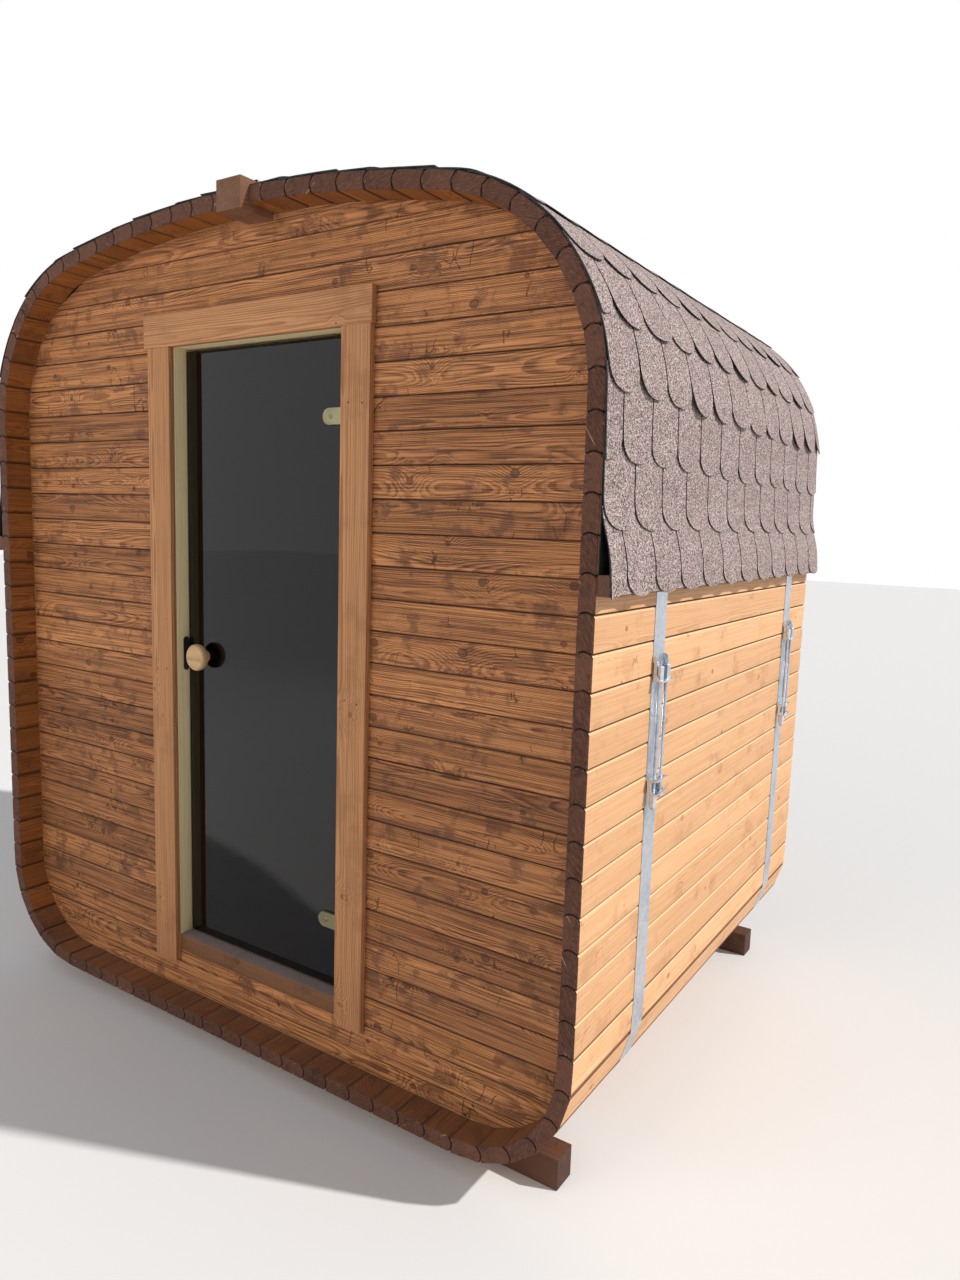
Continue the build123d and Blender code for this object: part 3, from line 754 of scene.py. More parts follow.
def board_profile(z0, z1, face, back, low_edge, high_edge):
    """Profile of a board as (y, z) points; face and back are the y of its two sides."""
    inward = 1 if back > face else -1
    bevel = inward * BOARD_BEVEL
    slot = face + inward * SLOT_DEPTH
    run = spaced(z0 + BOARD_BEVEL * low_edge, z1 - BOARD_BEVEL * high_edge,
                 LEVELS if z1 < ARCH_FROM else ARCH_LEVELS)
    profile = [(face, z) for z in run]
    if high_edge:
        profile += [(face + bevel, z1 - SLOT), (slot, z1 - SLOT), (slot, z1), (back - bevel, z1)]
    profile += [(back, z) for z in run[::-1]]
    if low_edge:
        profile += [(back - bevel, z0), (slot, z0), (slot, z0 + SLOT), (face + bevel, z0 + SLOT)]
    return profile


def lay_board(bench, row, z0, z1, x_start, x_stop, face, back, seed):
    """x_start and x_stop are numbers, or None where the board runs to the ring."""
    ring_a, ring_b = [], []
    for y, z in board_profile(z0, z1, face, back, z0 == row[0], z1 == row[1]):
        level = min(max(z, RING_FOOT), RING_TOP)
        xa = reach_at(inner_left, level) if x_start is None else x_start
        xb = reach_at(inner_right, level) if x_stop is None else x_stop
        ring_a.append((MM * xa, MM * y, MM * z))
        ring_b.append((MM * xb, MM * y, MM * z))
    middle = (row[0] + row[1]) / 2
    start = len(bench.faces)
    bench.sweep([ring_a, ring_b], lambda p: (p[0], p[2] - MM * middle, abs(p[1] - MM * face)), seed)
    for i in range(start, len(bench.faces)):
        if all(abs(bench.points[v][1]) < MM * (abs(face) - WALL / 2) for v in bench.faces[i]):
            bench.finish[i] = 1


def board_rows():
    z = BOARD_BASE - 2 * BOARD_PITCH
    while z < RING_TOP:
        yield max(z, UNDERSIDE + STAVE), min(z + BOARD_PITCH, RING_TOP)
        z += BOARD_PITCH


def lay_wall(name, face, back, cut_outs, replaced, seed):
    """Boards from the foot to the arch, interrupted by cut-outs given as (x0, x1, z0, z1)."""
    bench = Workbench(seed)
    for row in board_rows():
        grain = bench.draw.random() * 100
        levels = {row[0], row[1]}
        for x0, x1, z0, z1 in cut_outs:
            levels |= {z for z in (z0, z1) if row[0] < z < row[1]}
        levels = sorted(levels)
        for z0, z1 in zip(levels, levels[1:]):
            cut = [c for c in cut_outs if c[2] <= z0 and c[3] >= z1]
            for x_start, x_stop in [(None, cut[0][0]), (cut[0][1], None)] if cut else [(None, None)]:
                lay_board(bench, row, z0, z1, x_start, x_stop, face, back, grain)
    bench.build(name, [board_face, inside_face], "cabin", "board_wood", replaced)


lay_wall("front_boards", FRONT, FRONT + WALL, [DOORWAY, BEAM_NOTCH],
         ["front_wall_left", "front_wall_right", "front_wall_above_door", "front_wall_below_door"], 31)
lay_wall("back_boards", -FRONT, -FRONT - WALL, [BEAM_NOTCH], ["back_wall"], 32)

# %% [markdown]
# ## Door frame, trims and beams
# These are single planed timbers, so each is one block with eased edges. The frame is left pale, the
# trims are stained golden brown, and the sill has greyed on top where feet and rain reach it. The
# stops are separate strips planted on the frame, as a joiner would do it.

# %% Frame, sill and trims
STOP = 0.012
front_y = MM * FRONT
back_y = jamb_l_hi[1]
stop_y = back_y - STOP
frame_top = jamb_l_hi[2]
door_left, door_right, door_bottom = sill_lo[0], sill_hi[0], sill_hi[2]
head_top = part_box("door_head")[1][2]
head_z = head_top - (frame_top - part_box("door_trim_left")[1][2])


def timber_piece(name, blocks, finishes, slot, node, seed, edge=1.5):
    bench = Workbench(seed)
    for lo, hi, along in blocks:
        bench.block(lo, hi, along, edge)
    bench.build(name, finishes, "cabin", slot, [node])


for seed, (name, node, *blocks) in enumerate((
        ("frame_left", "door_jamb_left",
         ((jamb_l_lo[0], front_y, jamb_l_lo[2]), (door_left, back_y, frame_top), "z"),
         ((door_left, stop_y, door_bottom), (door_left + STOP, back_y, head_z), "z")),
        ("frame_right", "door_jamb_right",
         ((door_right, front_y, jamb_r_lo[2]), (jamb_r_hi[0], back_y, frame_top), "z"),
         ((door_right - STOP, stop_y, door_bottom), (door_right, back_y, head_z), "z")),
        ("frame_head", "door_head",
         ((door_left, front_y, head_z), (door_right, back_y, head_top), "x"),
         ((door_left + STOP, stop_y, head_z - STOP), (door_right - STOP, back_y, head_z), "x"))), 41):
    timber_piece(name, blocks, [pale_face, pale_face], "pale_wood", node, seed)
timber_piece("sill", [(sill_lo, sill_hi, "x")], [sill_face, sill_face], "trim_wood", "door_sill", 44)
for seed, (node, along) in enumerate((("door_trim_left", "z"), ("door_trim_right", "z"),
                                      ("door_trim_header", "x")), 45):
    timber_piece("planed_" + node, [(*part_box(node), along)], [trim_face, trim_face], "trim_wood", node,
                 seed, edge=2.0)
timber_piece("ridge_timber", [(ridge_lo, ridge_hi, "y")], [beam_face, beam_end], "stained_wood",
             "ridge_beam", 48, edge=2.5)

# %% Nail heads on the trims
NAIL_HEADS = ((0.396, 2.005), (0.444, 2.002), (0.394, 1.196), (0.440, 1.190), (-0.412, 1.192),
              (-0.366, 1.197))
NAIL_PROFILE = ((0.0002, 0.0026), (-0.0004, 0.0026), (-0.0007, 0.0019))
NAIL_SIDES = 14

rusty_nail = timber_finish("rusty_nail", (0.10, 0.045, 0.028), (0.05, 0.022, 0.015), (0.03, 0.015, 0.012),
                           (0.02, 0.01, 0.008), stain=0.8, rough=0.75, relief=0.0002, cloud=0.004)
bench = Workbench(49)
trim_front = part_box("door_trim_left")[0][1]
circle = [math.pi * i / (NAIL_SIDES / 2) for i in range(NAIL_SIDES)]
for x, z in NAIL_HEADS:
    bench.sweep([[(x + r * math.cos(a), trim_front + y, z + r * math.sin(a)) for a in circle]
                 for y, r in NAIL_PROFILE], lambda p: p, end=0)
bench.build("trim_nails", [rusty_nail], "cabin", "black_metal")

# %% Foot beams hollowed for the shell
FOOT_EASE = 2.0
FOOT_HEART = 0.04


def hollowed_beam(node, seed):
    lo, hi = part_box(node)
    top = hi[2] / MM
    end = hi[0] / MM
    cradle = [(x, z) for x, z, a in (outline(s) for s in low_joints) if z < top - 1]
    reach = LOW_X + math.sqrt(LOW_R ** 2 - (LOW_Z - top) ** 2)
    half = cradle + [(reach, top), (end, top), (end, 0.0)]
    section = half + [(-x, z) for x, z in half[::-1]]
    bench = Workbench(seed)
    rings = []
    for y, ease in ((lo[1], FOOT_EASE), (lo[1] + FOOT_EASE * MM, 0), (hi[1] - FOOT_EASE * MM, 0),
                    (hi[1], FOOT_EASE)):
        rings.append([(MM * (x - math.copysign(ease, x) * (abs(x) >= end)), y,
                       MM * (z + ease * (z == 0) - ease * (z == top))) for x, z in section])
    middle = (lo[1] + hi[1]) / 2
    bench.sweep(rings, lambda p: (p[0], p[1] - middle, p[2] - FOOT_HEART), end=0)
    for i, face in enumerate(bench.faces):
        if all(abs(bench.points[v][0]) > MM * (end - FOOT_EASE - 0.5) for v in face):
            bench.finish[i] = 1
    # the foot beams take the darker copies as painted shade
    bench.build("cradle_" + node, [shaded_foot_face, shaded_foot_end], "cabin", "stained_wood", [node])


hollowed_beam("foot_beam_front", 51)
hollowed_beam("foot_beam_back", 52)

# %% Battens behind the eaves
BATTEN_LOW = 1545.0
BATTEN_HIGH = 1593.0
BATTEN_DEEP = 30.0
BATTEN_EASE = 2.0
BATTEN_IN = HALF_WIDTH + 2.3
EAVES = 1541.0
kick = (HALF_WIDTH + BATTEN_DEEP, BATTEN_HIGH)
kick_reach = math.hypot(kick[0] - UP_X, kick[1] - UP_Z)
LEAVE = math.atan2(kick[1] - UP_Z, kick[0] - UP_X) + math.acos(UP_R / kick_reach)
leave_at = (UP_X + UP_R * math.cos(LEAVE), UP_Z + UP_R * math.sin(LEAVE))
kick_slope = (kick[0] - leave_at[0]) / (leave_at[1] - kick[1])


def kick_x(z):
    return kick[0] + kick_slope * (BATTEN_HIGH - z)


def lay_batten(side, node, seed):
    bench = Workbench(seed)
    rings = []
    for y, t in ((-HALF_LENGTH, BATTEN_EASE), (-HALF_LENGTH + BATTEN_EASE, 0), (HALF_LENGTH - BATTEN_EASE, 0),
                 (HALF_LENGTH, BATTEN_EASE)):
        rings.append([(side * MM * x, MM * y, MM * z) for x, z in (
            (BATTEN_IN + t, BATTEN_LOW + t), (kick_x(BATTEN_LOW) - t, BATTEN_LOW + t),
            (kick[0] - t, BATTEN_HIGH - t), (BATTEN_IN + t, BATTEN_HIGH - t))])
    middle = ((BATTEN_LOW + BATTEN_HIGH) / 2, HALF_WIDTH + BATTEN_DEEP / 2)
    bench.sweep(rings, lambda p: (p[1], p[2] - MM * middle[0], abs(p[0]) - MM * middle[1]))
    # the batten ends take the darker end finish as painted shade
    bench.build("sawn_" + node, [beam_face, batten_end_shade], "cabin", "stained_wood", [node])


lay_batten(1, "eaves_batten_right", 53)
lay_batten(-1, "eaves_batten_left", 54)

# %% [markdown]
# ## Roof covering
# Bitumen shingles come as metre strips cut into round-ended tabs. Courses lap so that only the lower
# part of each tab shows, and alternate courses move by half a tab. Each tab here is a thin bent slab
# lying on the one below, so the cut edges, the slots and the small steps are real and catch light.

# %% Surface that the shingles lie on
TAB_PITCH = 166.0
TAB_SLOT = 6.0
TAB_ROUND = 50.0
TAB_LONG = 206.0
EXPOSURE = 153.0
SWING_TOP = 1768.0
PATH_STEP = 8.0
ROW_SPREAD = 1.15


def sheet_x(z):
    """Underside of the covering beside the upright staves: it swings out to pass the batten."""
    if z <= BATTEN_HIGH:
        return kick_x(z)
    share = max(0.0, (SWING_TOP - z) / (SWING_TOP - BATTEN_HIGH))
    return HALF_WIDTH + BATTEN_DEEP * share * share * (3 - 2 * share)


side_path = [(sheet_x(z), z) for z in spaced(EAVES, UP_Z, round((UP_Z - EAVES) / PATH_STEP))]
side_run = [0.0]
for (xa, za), (xb, zb) in zip(side_path, side_path[1:]):
    side_run.append(side_run[-1] + math.hypot(xb - xa, zb - za))
U_SIDE = side_run[-1]
U_CORNER = U_SIDE + UP_R * (math.pi / 2 - ARCH_A)


def roof_point(u, height):
    """Point of the right slope, u up from the eaves and height above the underlay."""
    if u <= U_SIDE:
        k = min(len(side_path) - 2, max(0, bisect.bisect_right(side_run, u) - 1))
        (xa, za), (xb, zb) = side_path[k], side_path[k + 1]
        t = (u - side_run[k]) / (side_run[k + 1] - side_run[k])
        x, z = xa + (xb - xa) * t, za + (zb - za) * t
        a = math.atan2(xa - xb, zb - za)
    elif u <= U_CORNER:
        a = (u - U_SIDE) / UP_R
        x = UP_X + UP_R * math.cos(a)
        z = UP_Z + UP_R * math.sin(a)
    else:
        a = math.pi / 2 - ARCH_A + (u - U_CORNER) / ARCH_R
        x = ARCH_R * math.cos(a)
        z = ARCH_Z + ARCH_R * math.sin(a)
    return x + height * math.cos(a), z + height * math.sin(a)


def slope_length(beam_x):
    return U_CORNER + ARCH_R * (ARCH_A - math.asin(beam_x / ARCH_R))


def thin_piece(bench, top, under, n, m, order, face=0):
    """Closes n rows of m points above and below; underside and rim get the second finish."""
    count = n * m
    faces, finish = [], []
    for a in range(n - 1):
        for b in range(m - 1):
            q = (a * m + b, a * m + b + 1, (a + 1) * m + b + 1, (a + 1) * m + b)
            faces += [q, tuple(count + i for i in q[::-1])]
            finish += [face, 1]
    rim = [a * m for a in range(n)] + [(n - 1) * m + b for b in range(1, m)]
    rim += [a * m + m - 1 for a in range(n - 2, -1, -1)] + list(range(m - 2, 0, -1))
    for i, j in zip(rim, rim[1:] + rim[:1]):
        faces.append((i, j, count + j, count + i))
        finish.append(1)
    points = top + under
    bench.add(points, faces, finish, [[p[a] for a in order] for p in points])


def slab(bench, side, columns, low, high, steps, under_low, under_high, thick, lift=None, face=0):
    """Thin bent slab; columns are y positions, low(y) and high give its run up the slope."""
    top, under = [], []
    for y in columns:
        start = low(y)
        for i in range(steps + 1):
            u = start + (high - start) * (i / steps) ** ROW_SPREAD
            base = under_low + (under_high - under_low) * (u - start) / max(high - start, 1)
            base += lift(y, u) if lift else 0.0
            for heap, h in ((top, base + thick), (under, base)):
                x, z = roof_point(u, h)
                heap.append((side * MM * x, MM * y, MM * z))
    thin_piece(bench, top, under, len(columns), steps + 1, (2, 1, 0), face)


print("slope from eaves to crown:", round(U_CORNER + ARCH_R * ARCH_A), "mm")

# %% [markdown]
# ## Finishes of the roof
# Mineral granules are a millimetre or two and come in several tones, so a fine cell pattern picks a
# tone for each and a wider cloud makes some tabs warmer. The back and the cut edge are plain bitumen
# with a faint sanded grain.

# %% Node group: mineral granules
mineral_granules, w, entry = effect("mineral_granules", Piece=0.0, Grain_Size=0.0024)
place = entry["Place"]
rate = 1.0 / entry["Grain Size"]
cell = w.cells(place, rate)
chance = w.split(cell["Color"])
lot = w.lot(entry["Piece"])
cloud = w.noise(w.vector("ADD", place, w.vector("SCALE", lot, scale=9.0)), 7.0, 3.0, 0.6)
wear = w.band(cloud, 0.35, 0.7) + (w.split(lot)[0] - 0.5) * 0.8
w.give(Tone=chance[0], Tint=chance[1], Wear=wear,
       Height=w.math("SUBTRACT", 1.0, cell["Distance"] * rate, clamp=True))

# %% Granules and cut bitumen
shingle_granules, w = blank_material("shingle_granules")
grains = w.group(mineral_granules, Place=w.object_place(), Piece=w.attribute("piece", "Fac"))
colour = w.mix(w.band(grains["Tone"], 0.1, 0.9), (0.092, 0.056, 0.052), (0.47, 0.360, 0.342))
colour = w.mix(w.math("GREATER_THAN", grains["Tint"], 0.86), colour, (0.66, 0.56, 0.53))
colour = w.mix(w.math("LESS_THAN", grains["Tint"], 0.17), colour, (0.020, 0.013, 0.013))
colour = w.mix(w.math("MULTIPLY", grains["Wear"], 0.2, clamp=True), colour, (0.20, 0.135, 0.122))
w.surface(colour, 0.72 + grains["Tone"] * 0.2, grains["Height"], 0.0009)

cut_bitumen, w = blank_material("cut_bitumen")
place = w.object_place()
sand = w.noise(place, 700.0, 3.0, 0.6)
colour = w.mix(w.band(sand, 0.45, 0.7), (0.006, 0.006, 0.007), (0.026, 0.024, 0.025))
w.surface(colour, w.band(w.noise(place, 30.0, 3.0, 0.5), 0.3, 0.7, 0.62, 0.85), sand, 0.0004)
print("roof finishes:", shingle_granules.name, cut_bitumen.name)

# %% Shingles on both slopes
SHEET_INSET = 0.6
UNDERLAY_FOOT = 26.0
STARTER = (7.0, 140.0)
GAP_STRIP = ((1185.3, 1594.5), (1186.3, 1594.5), (1186.3, 1728), (1185.3, 1728))
FIRST_SEAT = (2.9, 3.0)
USUAL_SEAT = (4.5, 3.2)
TAB_CURL = (0.0, 0.9, 2.6, 8.5, 6.0, 3.4, 2.4)
CURL_REACH = 105.0
ROUNDNESS = 2.3
LEAST_REST = 40.0


def tab_foot(y, centre, half):
    """How far the round end rises above the tip at position y."""
    r = min(1.0, abs(y - centre) / half)
    return TAB_ROUND * (1 - math.sqrt(max(0.0, 1 - r ** ROUNDNESS)))


def lay_shingles(name, side, beam_x, node, seed):
    bench = Workbench(seed)
    length = slope_length(beam_x)
    ends = HALF_LENGTH - SHEET_INSET
    # underlay over the whole slope, starter strip behind the lowest course, and a black strip on the stave
    # side above the batten
    slab(bench, side, spaced(-ends + 2, ends - 2, 3), lambda y: UNDERLAY_FOOT, length - 1, 60, 0.1, 0.1, 1.2,
         face=1)
    slab(bench, side, spaced(-ends, ends, 3), lambda y: STARTER[0], STARTER[1], 6, 0.1, 1.3, 1.5)
    bench.sweep([[(side * MM * x, MM * y, MM * z) for x, z in GAP_STRIP] for y in (3 - ends, ends - 3)],
                lambda p: p, side=1)
    half = TAB_PITCH / 2 - TAB_SLOT / 2
    course = 0
    while course * EXPOSURE < length - LEAST_REST:
        foot = course * EXPOSURE
        top = min(foot + TAB_LONG, length - 1)
        seat, thick = USUAL_SEAT if course else FIRST_SEAT
        start = -HALF_LENGTH - (TAB_PITCH / 2 if course % 2 == 0 else 0.0)
        while start < HALF_LENGTH - 3:
            left = max(start + TAB_SLOT / 2, -ends)
            right = min(start + TAB_PITCH - TAB_SLOT / 2, ends)
            centre = start + TAB_PITCH / 2
            slip = bench.draw.uniform(-2.5, 2.5) if course else bench.draw.uniform(0.0, 2.0)
            usual = TAB_CURL[min(course, len(TAB_CURL) - 1)]
            curl = usual * min(1.7, max(0.35, bench.draw.gauss(1.0, 0.42)))
            curl_side = bench.draw.choice((-1, -1, 1))

            def low(y):
                return foot + slip + tab_foot(y, centre, half)

            def lift(y, u):
                near = max(0.0, 1 - (u - foot) / CURL_REACH) ** 2
                return curl * near * max(0.1, 0.6 + 0.5 * curl_side * (y - centre) / half)

            if right - left > TAB_SLOT:
                count = 13 if right - left > TAB_PITCH * 0.6 else 8
                full = [centre + half * math.cos(math.pi * i / (count - 1)) for i in range(count)][::-1]
                columns = [left] + [y for y in full if left + 1 < y < right - 1] + [right]
                slab(bench, side, columns, low, top, 9, seat, 0.2 if top > foot + 150 else 1.4, thick, lift)
            start += TAB_PITCH
        course += 1
    bench.build(name, [shingle_granules, cut_bitumen], "cabin", "roof_shingle", [node], smooth=40)


lay_shingles("shingles_on_right", 1, BEAM_RIGHT, "shingles_right", 61)
lay_shingles("shingles_on_left", -1, -BEAM_LEFT, "shingles_left", 62)

# %% Ridge caps lapped over the beam
CAP_FLAP = 106.0
CAP_TUCK = 7.0
CAP_SEAT = 8.5
CAP_SETBACK = 30.0
CAP_LONG = 250.0
CAP_SHOW = 160.0
CAP_THICK = 2.3
CAP_LAP = 2.45
CAP_ROWS = (0.0, 0.33, 0.66, 1.0)

cap_top = ridge_hi[2] / MM
flap_left, tuck_left, tuck_right, flap_right = (roof_point(slope_length(reach), CAP_SEAT) for reach in (
    BEAM_LEFT + CAP_FLAP, BEAM_LEFT + CAP_TUCK, BEAM_RIGHT + CAP_TUCK, BEAM_RIGHT + CAP_FLAP))
cap_line = [(-flap_left[0], flap_left[1]), (-tuck_left[0], tuck_left[1]), (-BEAM_LEFT, cap_top),
            ((BEAM_RIGHT - BEAM_LEFT) / 2, cap_top), (BEAM_RIGHT, cap_top), tuck_right, flap_right]
bench = Workbench(63)
y = -HALF_LENGTH + CAP_SETBACK
while y < HALF_LENGTH - LEAST_REST:
    stop = min(y + CAP_LONG, HALF_LENGTH - SHEET_INSET)
    skew = bench.draw.uniform(-1.5, 1.5)
    top, under = [], []
    for t in CAP_ROWS:
        low = CAP_LAP * (1 - t)
        for heap, h in ((top, low + CAP_THICK), (under, low)):
            heap += [((x + skew * t) * MM, (y + (stop - y) * t) * MM, (z + h) * MM) for x, z in cap_line]
    thin_piece(bench, top, under, len(CAP_ROWS), len(cap_line), (1, 0, 2))
    y += CAP_SHOW
bench.build("ridge_caps", [shingle_granules, cut_bitumen], "cabin", "roof_shingle", ["shingles_ridge"],
            smooth=40)

# %% [markdown]
# ## Metal and glass finishes
# The hoops are zinc coated strip: pale, fairly bright, with a faint crystal pattern and a few dull
# patches. The hinges have a pale brass look and the latch plate is black. The glass is dark tinted
# through, so it gets a nearly black transmission colour and a clean polish.

# %% Node group: zinc bloom
zinc_bloom, w, entry = effect("zinc_bloom", Crystal=0.012)
place = entry["Place"]
cell = w.cells(w.vector("ADD", place, w.vector("SCALE", place, scale=0.13)), 1.0 / entry["Crystal"])
drawn = w.noise(w.vector("MULTIPLY", place, (900.0, 900.0, 12.0)), 1.0, 2.0, 0.5)
w.give(Crystals=w.split(cell["Color"])[0], Dull=w.band(w.noise(place, 9.0, 4.0, 0.6), 0.45, 0.68),
       Scratches=w.band(drawn, 0.55, 0.7))

# %% Metals and glass
SCRATCH_DEPTH = 0.00008


def metal_finish(name, bright, dark, metallic, rough):
    material, w = blank_material(name)
    bloom = w.group(zinc_bloom, Place=w.object_place())
    colour = w.mix(bloom["Crystals"] * 0.35 + bloom["Dull"] * 0.45, bright, dark)
    spread = bloom["Dull"] * 0.16 + bloom["Scratches"] * 0.08
    w.surface(colour, rough + spread, bloom["Scratches"], SCRATCH_DEPTH, Metallic=metallic)
    return material


zinc_strip = metal_finish("zinc_strip", (0.62, 0.67, 0.74), (0.33, 0.38, 0.45), 0.9, 0.24)
zinc_bright = metal_finish("zinc_bright", (0.74, 0.78, 0.84), (0.42, 0.46, 0.52), 0.95, 0.2)
pale_brass = metal_finish("pale_brass", (0.26, 0.235, 0.135), (0.17, 0.152, 0.088), 0.75, 0.36)
latch_black = metal_finish("latch_black", (0.016, 0.015, 0.015), (0.030, 0.028, 0.028), 0.0, 0.38)

smoked_glass, w = blank_material("smoked_glass")
smear = w.band(w.noise(w.object_place(), 5.0, 5.0, 0.65), 0.5, 0.8, 0.0, 0.035)
w.surface((0.045, 0.040, 0.038, 1), smear, Metallic=0.0, Transmission_Weight=1.0, IOR=1.45)
print("metal and glass finishes:", zinc_strip.name, zinc_bright.name, pale_brass.name, latch_black.name,
      smoked_glass.name)

# %% Solids that only get a finish and a small bevel
for node, material, edge in (("door_glass", smoked_glass, 0), ("hoop_front", zinc_strip, 0),
                             ("hoop_back", zinc_strip, 0), ("door_hinge_clips", pale_brass, 0.8),
                             ("hinge_jamb_leaves", pale_brass, 0.5), ("latch_plate", latch_black, 0.6)):
    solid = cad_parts[node]
    solid.data.materials.clear()
    solid.data.materials.append(material)
    if edge:
        solid.modifiers.new("weld", "WELD").merge_threshold = 0.00002
        ease = solid.modifiers.new("eased_edges", "BEVEL")
        ease.width = edge * MM
        ease.segments = 2
        ease.limit_method = "ANGLE"
        ease.angle_limit = math.radians(40)
        ease.harden_normals = False
    print("kept solid:", node, material.name)

# %% [markdown]
# ## Turned knob
# The knob is a lathe job: a disc with a softly rounded rim on a slim neck, one on each side of the
# glass, joined by a bolt. Turning the profile round the bolt axis gives the shape; the grain runs
# level through the disc, as it does on the real one.

# %% Knob on both sides of the glass
KNOB_AT = (-0.253, 0.0, 1.243)
KNOB_R = 0.042
KNOB_RIM = 0.0095
KNOB_GRAIN = 7.3
NECK = ((0.0002, 0.0190), (0.003, 0.0180), (0.010, 0.0150), (0.017, 0.0155), (0.022, 0.0185))
GLASS_FRONT = glass_lo[1]
GLASS_BACK = glass_hi[1]


def turned(bench, centre, axis, profile, sides, finish=0, seed=None):
    """Turns (distance along the axis, radius) points round an axis through centre."""
    order = {"y": (1, 0, 2), "z": (2, 0, 1)}[axis]
    rings = []
    for d, r in profile:
        ring = []
        for i in range(sides):
            a = 2 * math.pi * i / sides
            p = list(centre)
            p[order[0]] += d
            p[order[1]] += r * math.cos(a)
            p[order[2]] += r * math.sin(a)
            ring.append(tuple(p))
        rings.append(ring)
    bench.sweep(rings, lambda p: (p[0] - centre[0], p[2] - centre[2], p[1] - centre[1]), seed, finish, finish)


def rounded_disc(start, stop, radius, rim, steps=6):
    """Profile of a disc with a softly rounded rim, from start to stop along the axis."""
    way = rim if stop > start else -rim
    arc = [math.pi / 2 * i / steps for i in range(steps + 1)]
    profile = [(start, radius - rim)]
    profile += [(start + way * (1 - math.cos(a)), radius - rim + rim * math.sin(a)) for a in arc[1:]]
    profile += [(stop - way * (1 - math.sin(a)), radius - rim + rim * math.cos(a)) for a in arc]
    return profile


bench = Workbench(71)
knob_lo, knob_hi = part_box("door_knob")
for face, end, out in ((GLASS_FRONT, knob_lo[1], -1), (GLASS_BACK, knob_hi[1], 1)):
    neck = [(face + out * d, r) for d, r in NECK]
    turned(bench, KNOB_AT, "y", neck + rounded_disc(neck[-1][0], end, KNOB_R, KNOB_RIM), 56, seed=KNOB_GRAIN)
bench.build("turned_knob", [knob_face, knob_face], "door", "trim_wood", ["door_knob"], smooth=50)

# %% [markdown]
# ## Screws, pins and threaded rods
# Small hardware is cheap to model and makes the scale believable. Hinge screws are button heads with
# a hex recess. The rods of the tighteners get a real thread: the radius swings in and out once per
# turn while the ring climbs, which is a helix without any boolean work.

# %% Hinge screws and pins
HINGE_Z = (0.502, 1.979)
SCREW_X = (0.2817, 0.32625)
CLIP_FRONT = GLASS_FRONT - 0.008
PIN_X = 0.356
PIN_Y = -0.817
PIN_END = 0.0229
SCREW_HEAD = ((0.0, 0.0072), (-0.0008, 0.0070), (-0.0018, 0.0060), (-0.0024, 0.0046), (-0.0025, 0.0028))
RECESS = ((0, 0.0024), (-0.0006, 0.0024))

screws, pins = Workbench(72), Workbench(73)
for z in HINGE_Z:
    for x in SCREW_X:
        turned(screws, (x, CLIP_FRONT + 0.0002, z), "y", SCREW_HEAD, 24)
        turned(screws, (x, CLIP_FRONT - 0.0021, z), "y", RECESS, 6, finish=1)
    for end in (-1, 1):
        cap = [(0.0, 0.0034), (end * 0.0012, 0.0032), (end * 0.0018, 0.0022)]
        turned(pins, (PIN_X, PIN_Y, z + end * PIN_END), "z", cap, 20)
screws.build("hinge_screws", [pale_brass, latch_black], "door", "hinge_metal")
pins.build("hinge_pin_caps", [pale_brass, pale_brass], "cabin", "hinge_metal")

# %% Threaded rods, nuts and plates
THREAD_PITCH = 1.5
THREAD_DEPTH = 0.85
THREAD_SIDES = 12
ROD_R = 5.0
NUT_HALF = 9.3
NUT_CHAMFER = 1.1


def threaded_rod(bench, x, y, z0, z1):
    rings = []
    for k in range(int((z1 - z0) / THREAD_PITCH * 2) + 1):
        ring = []
        for turn in spaced(0.0, 1.0, THREAD_SIDES)[:-1]:
            z = min(max(z0 + (k / 2 + turn) * THREAD_PITCH, z0), z1)
            r = ROD_R if k % 2 else ROD_R - THREAD_DEPTH
            a = 2 * math.pi * turn
            ring.append((MM * (x + r * math.cos(a)), MM * (y + r * math.sin(a)), MM * z))
        rings.append(ring)
    bench.sweep(rings, lambda p: (p[2], p[0] - MM * x, p[1] - MM * y), end=0)


def hex_nut(bench, x, y, z0, tall):
    """Chamfered hex nut standing on z0."""
    corner = NUT_HALF / math.cos(math.pi / 6)
    low = corner - NUT_CHAMFER
    bench.sweep([[(MM * (x + r * math.cos(math.pi / 3 * i)), MM * (y + r * math.sin(math.pi / 3 * i)), MM * z)
                  for i in range(6)]
                 for z, r in ((z0, low), (z0 + 1.0, corner), (z0 + tall - 1.0, corner), (z0 + tall, low))],
                lambda p: (p[2], p[0], p[1]), end=0)


def upright_plate(bench, corners, thick):
    """A flat plate from its outline, given thickness along the y axis."""
    bench.sweep([[(MM * x, MM * (y + dy), MM * z) for x, y, z in corners] for dy in (0.0, thick)],
                lambda p: p, end=0)


print("thread:", THREAD_PITCH, "mm pitch on rods of", 2 * ROD_R, "mm")

# %% Tighteners
LUG_X0 = HALF_WIDTH + 2.0
LUG_X1 = LUG_X0 + 31.0
ROD_X = LUG_X0 + 14.5
ROD_APART = 22.0
ROD_ABOVE = 13.5
ROD_BELOW = 6.5
LUG_HALF = 38.0
LUG_THICK = 4.0
BACK_THICK = 3.8
BACK_TALL = 50.0
ROOT = 3.5
CHANNEL = 40.0
LONG_NUT = 36.0
SHORT_NUT = 12.0
EAR_THICK = 3.0
EAR = ((0.1, ROOT), (22, ROOT), (11, 18), (11, 62), (7, 66), (0.1, 66))
WEB = ((0.1, ROOT), (20, ROOT), (11, 14), (11, 26), (20, CHANNEL - ROOT), (0.1, CHANNEL - ROOT))
WASHER = ((0.0, 0.0100), (0.0002, 0.0106), (0.0014, 0.0106), (0.0016, 0.0100))


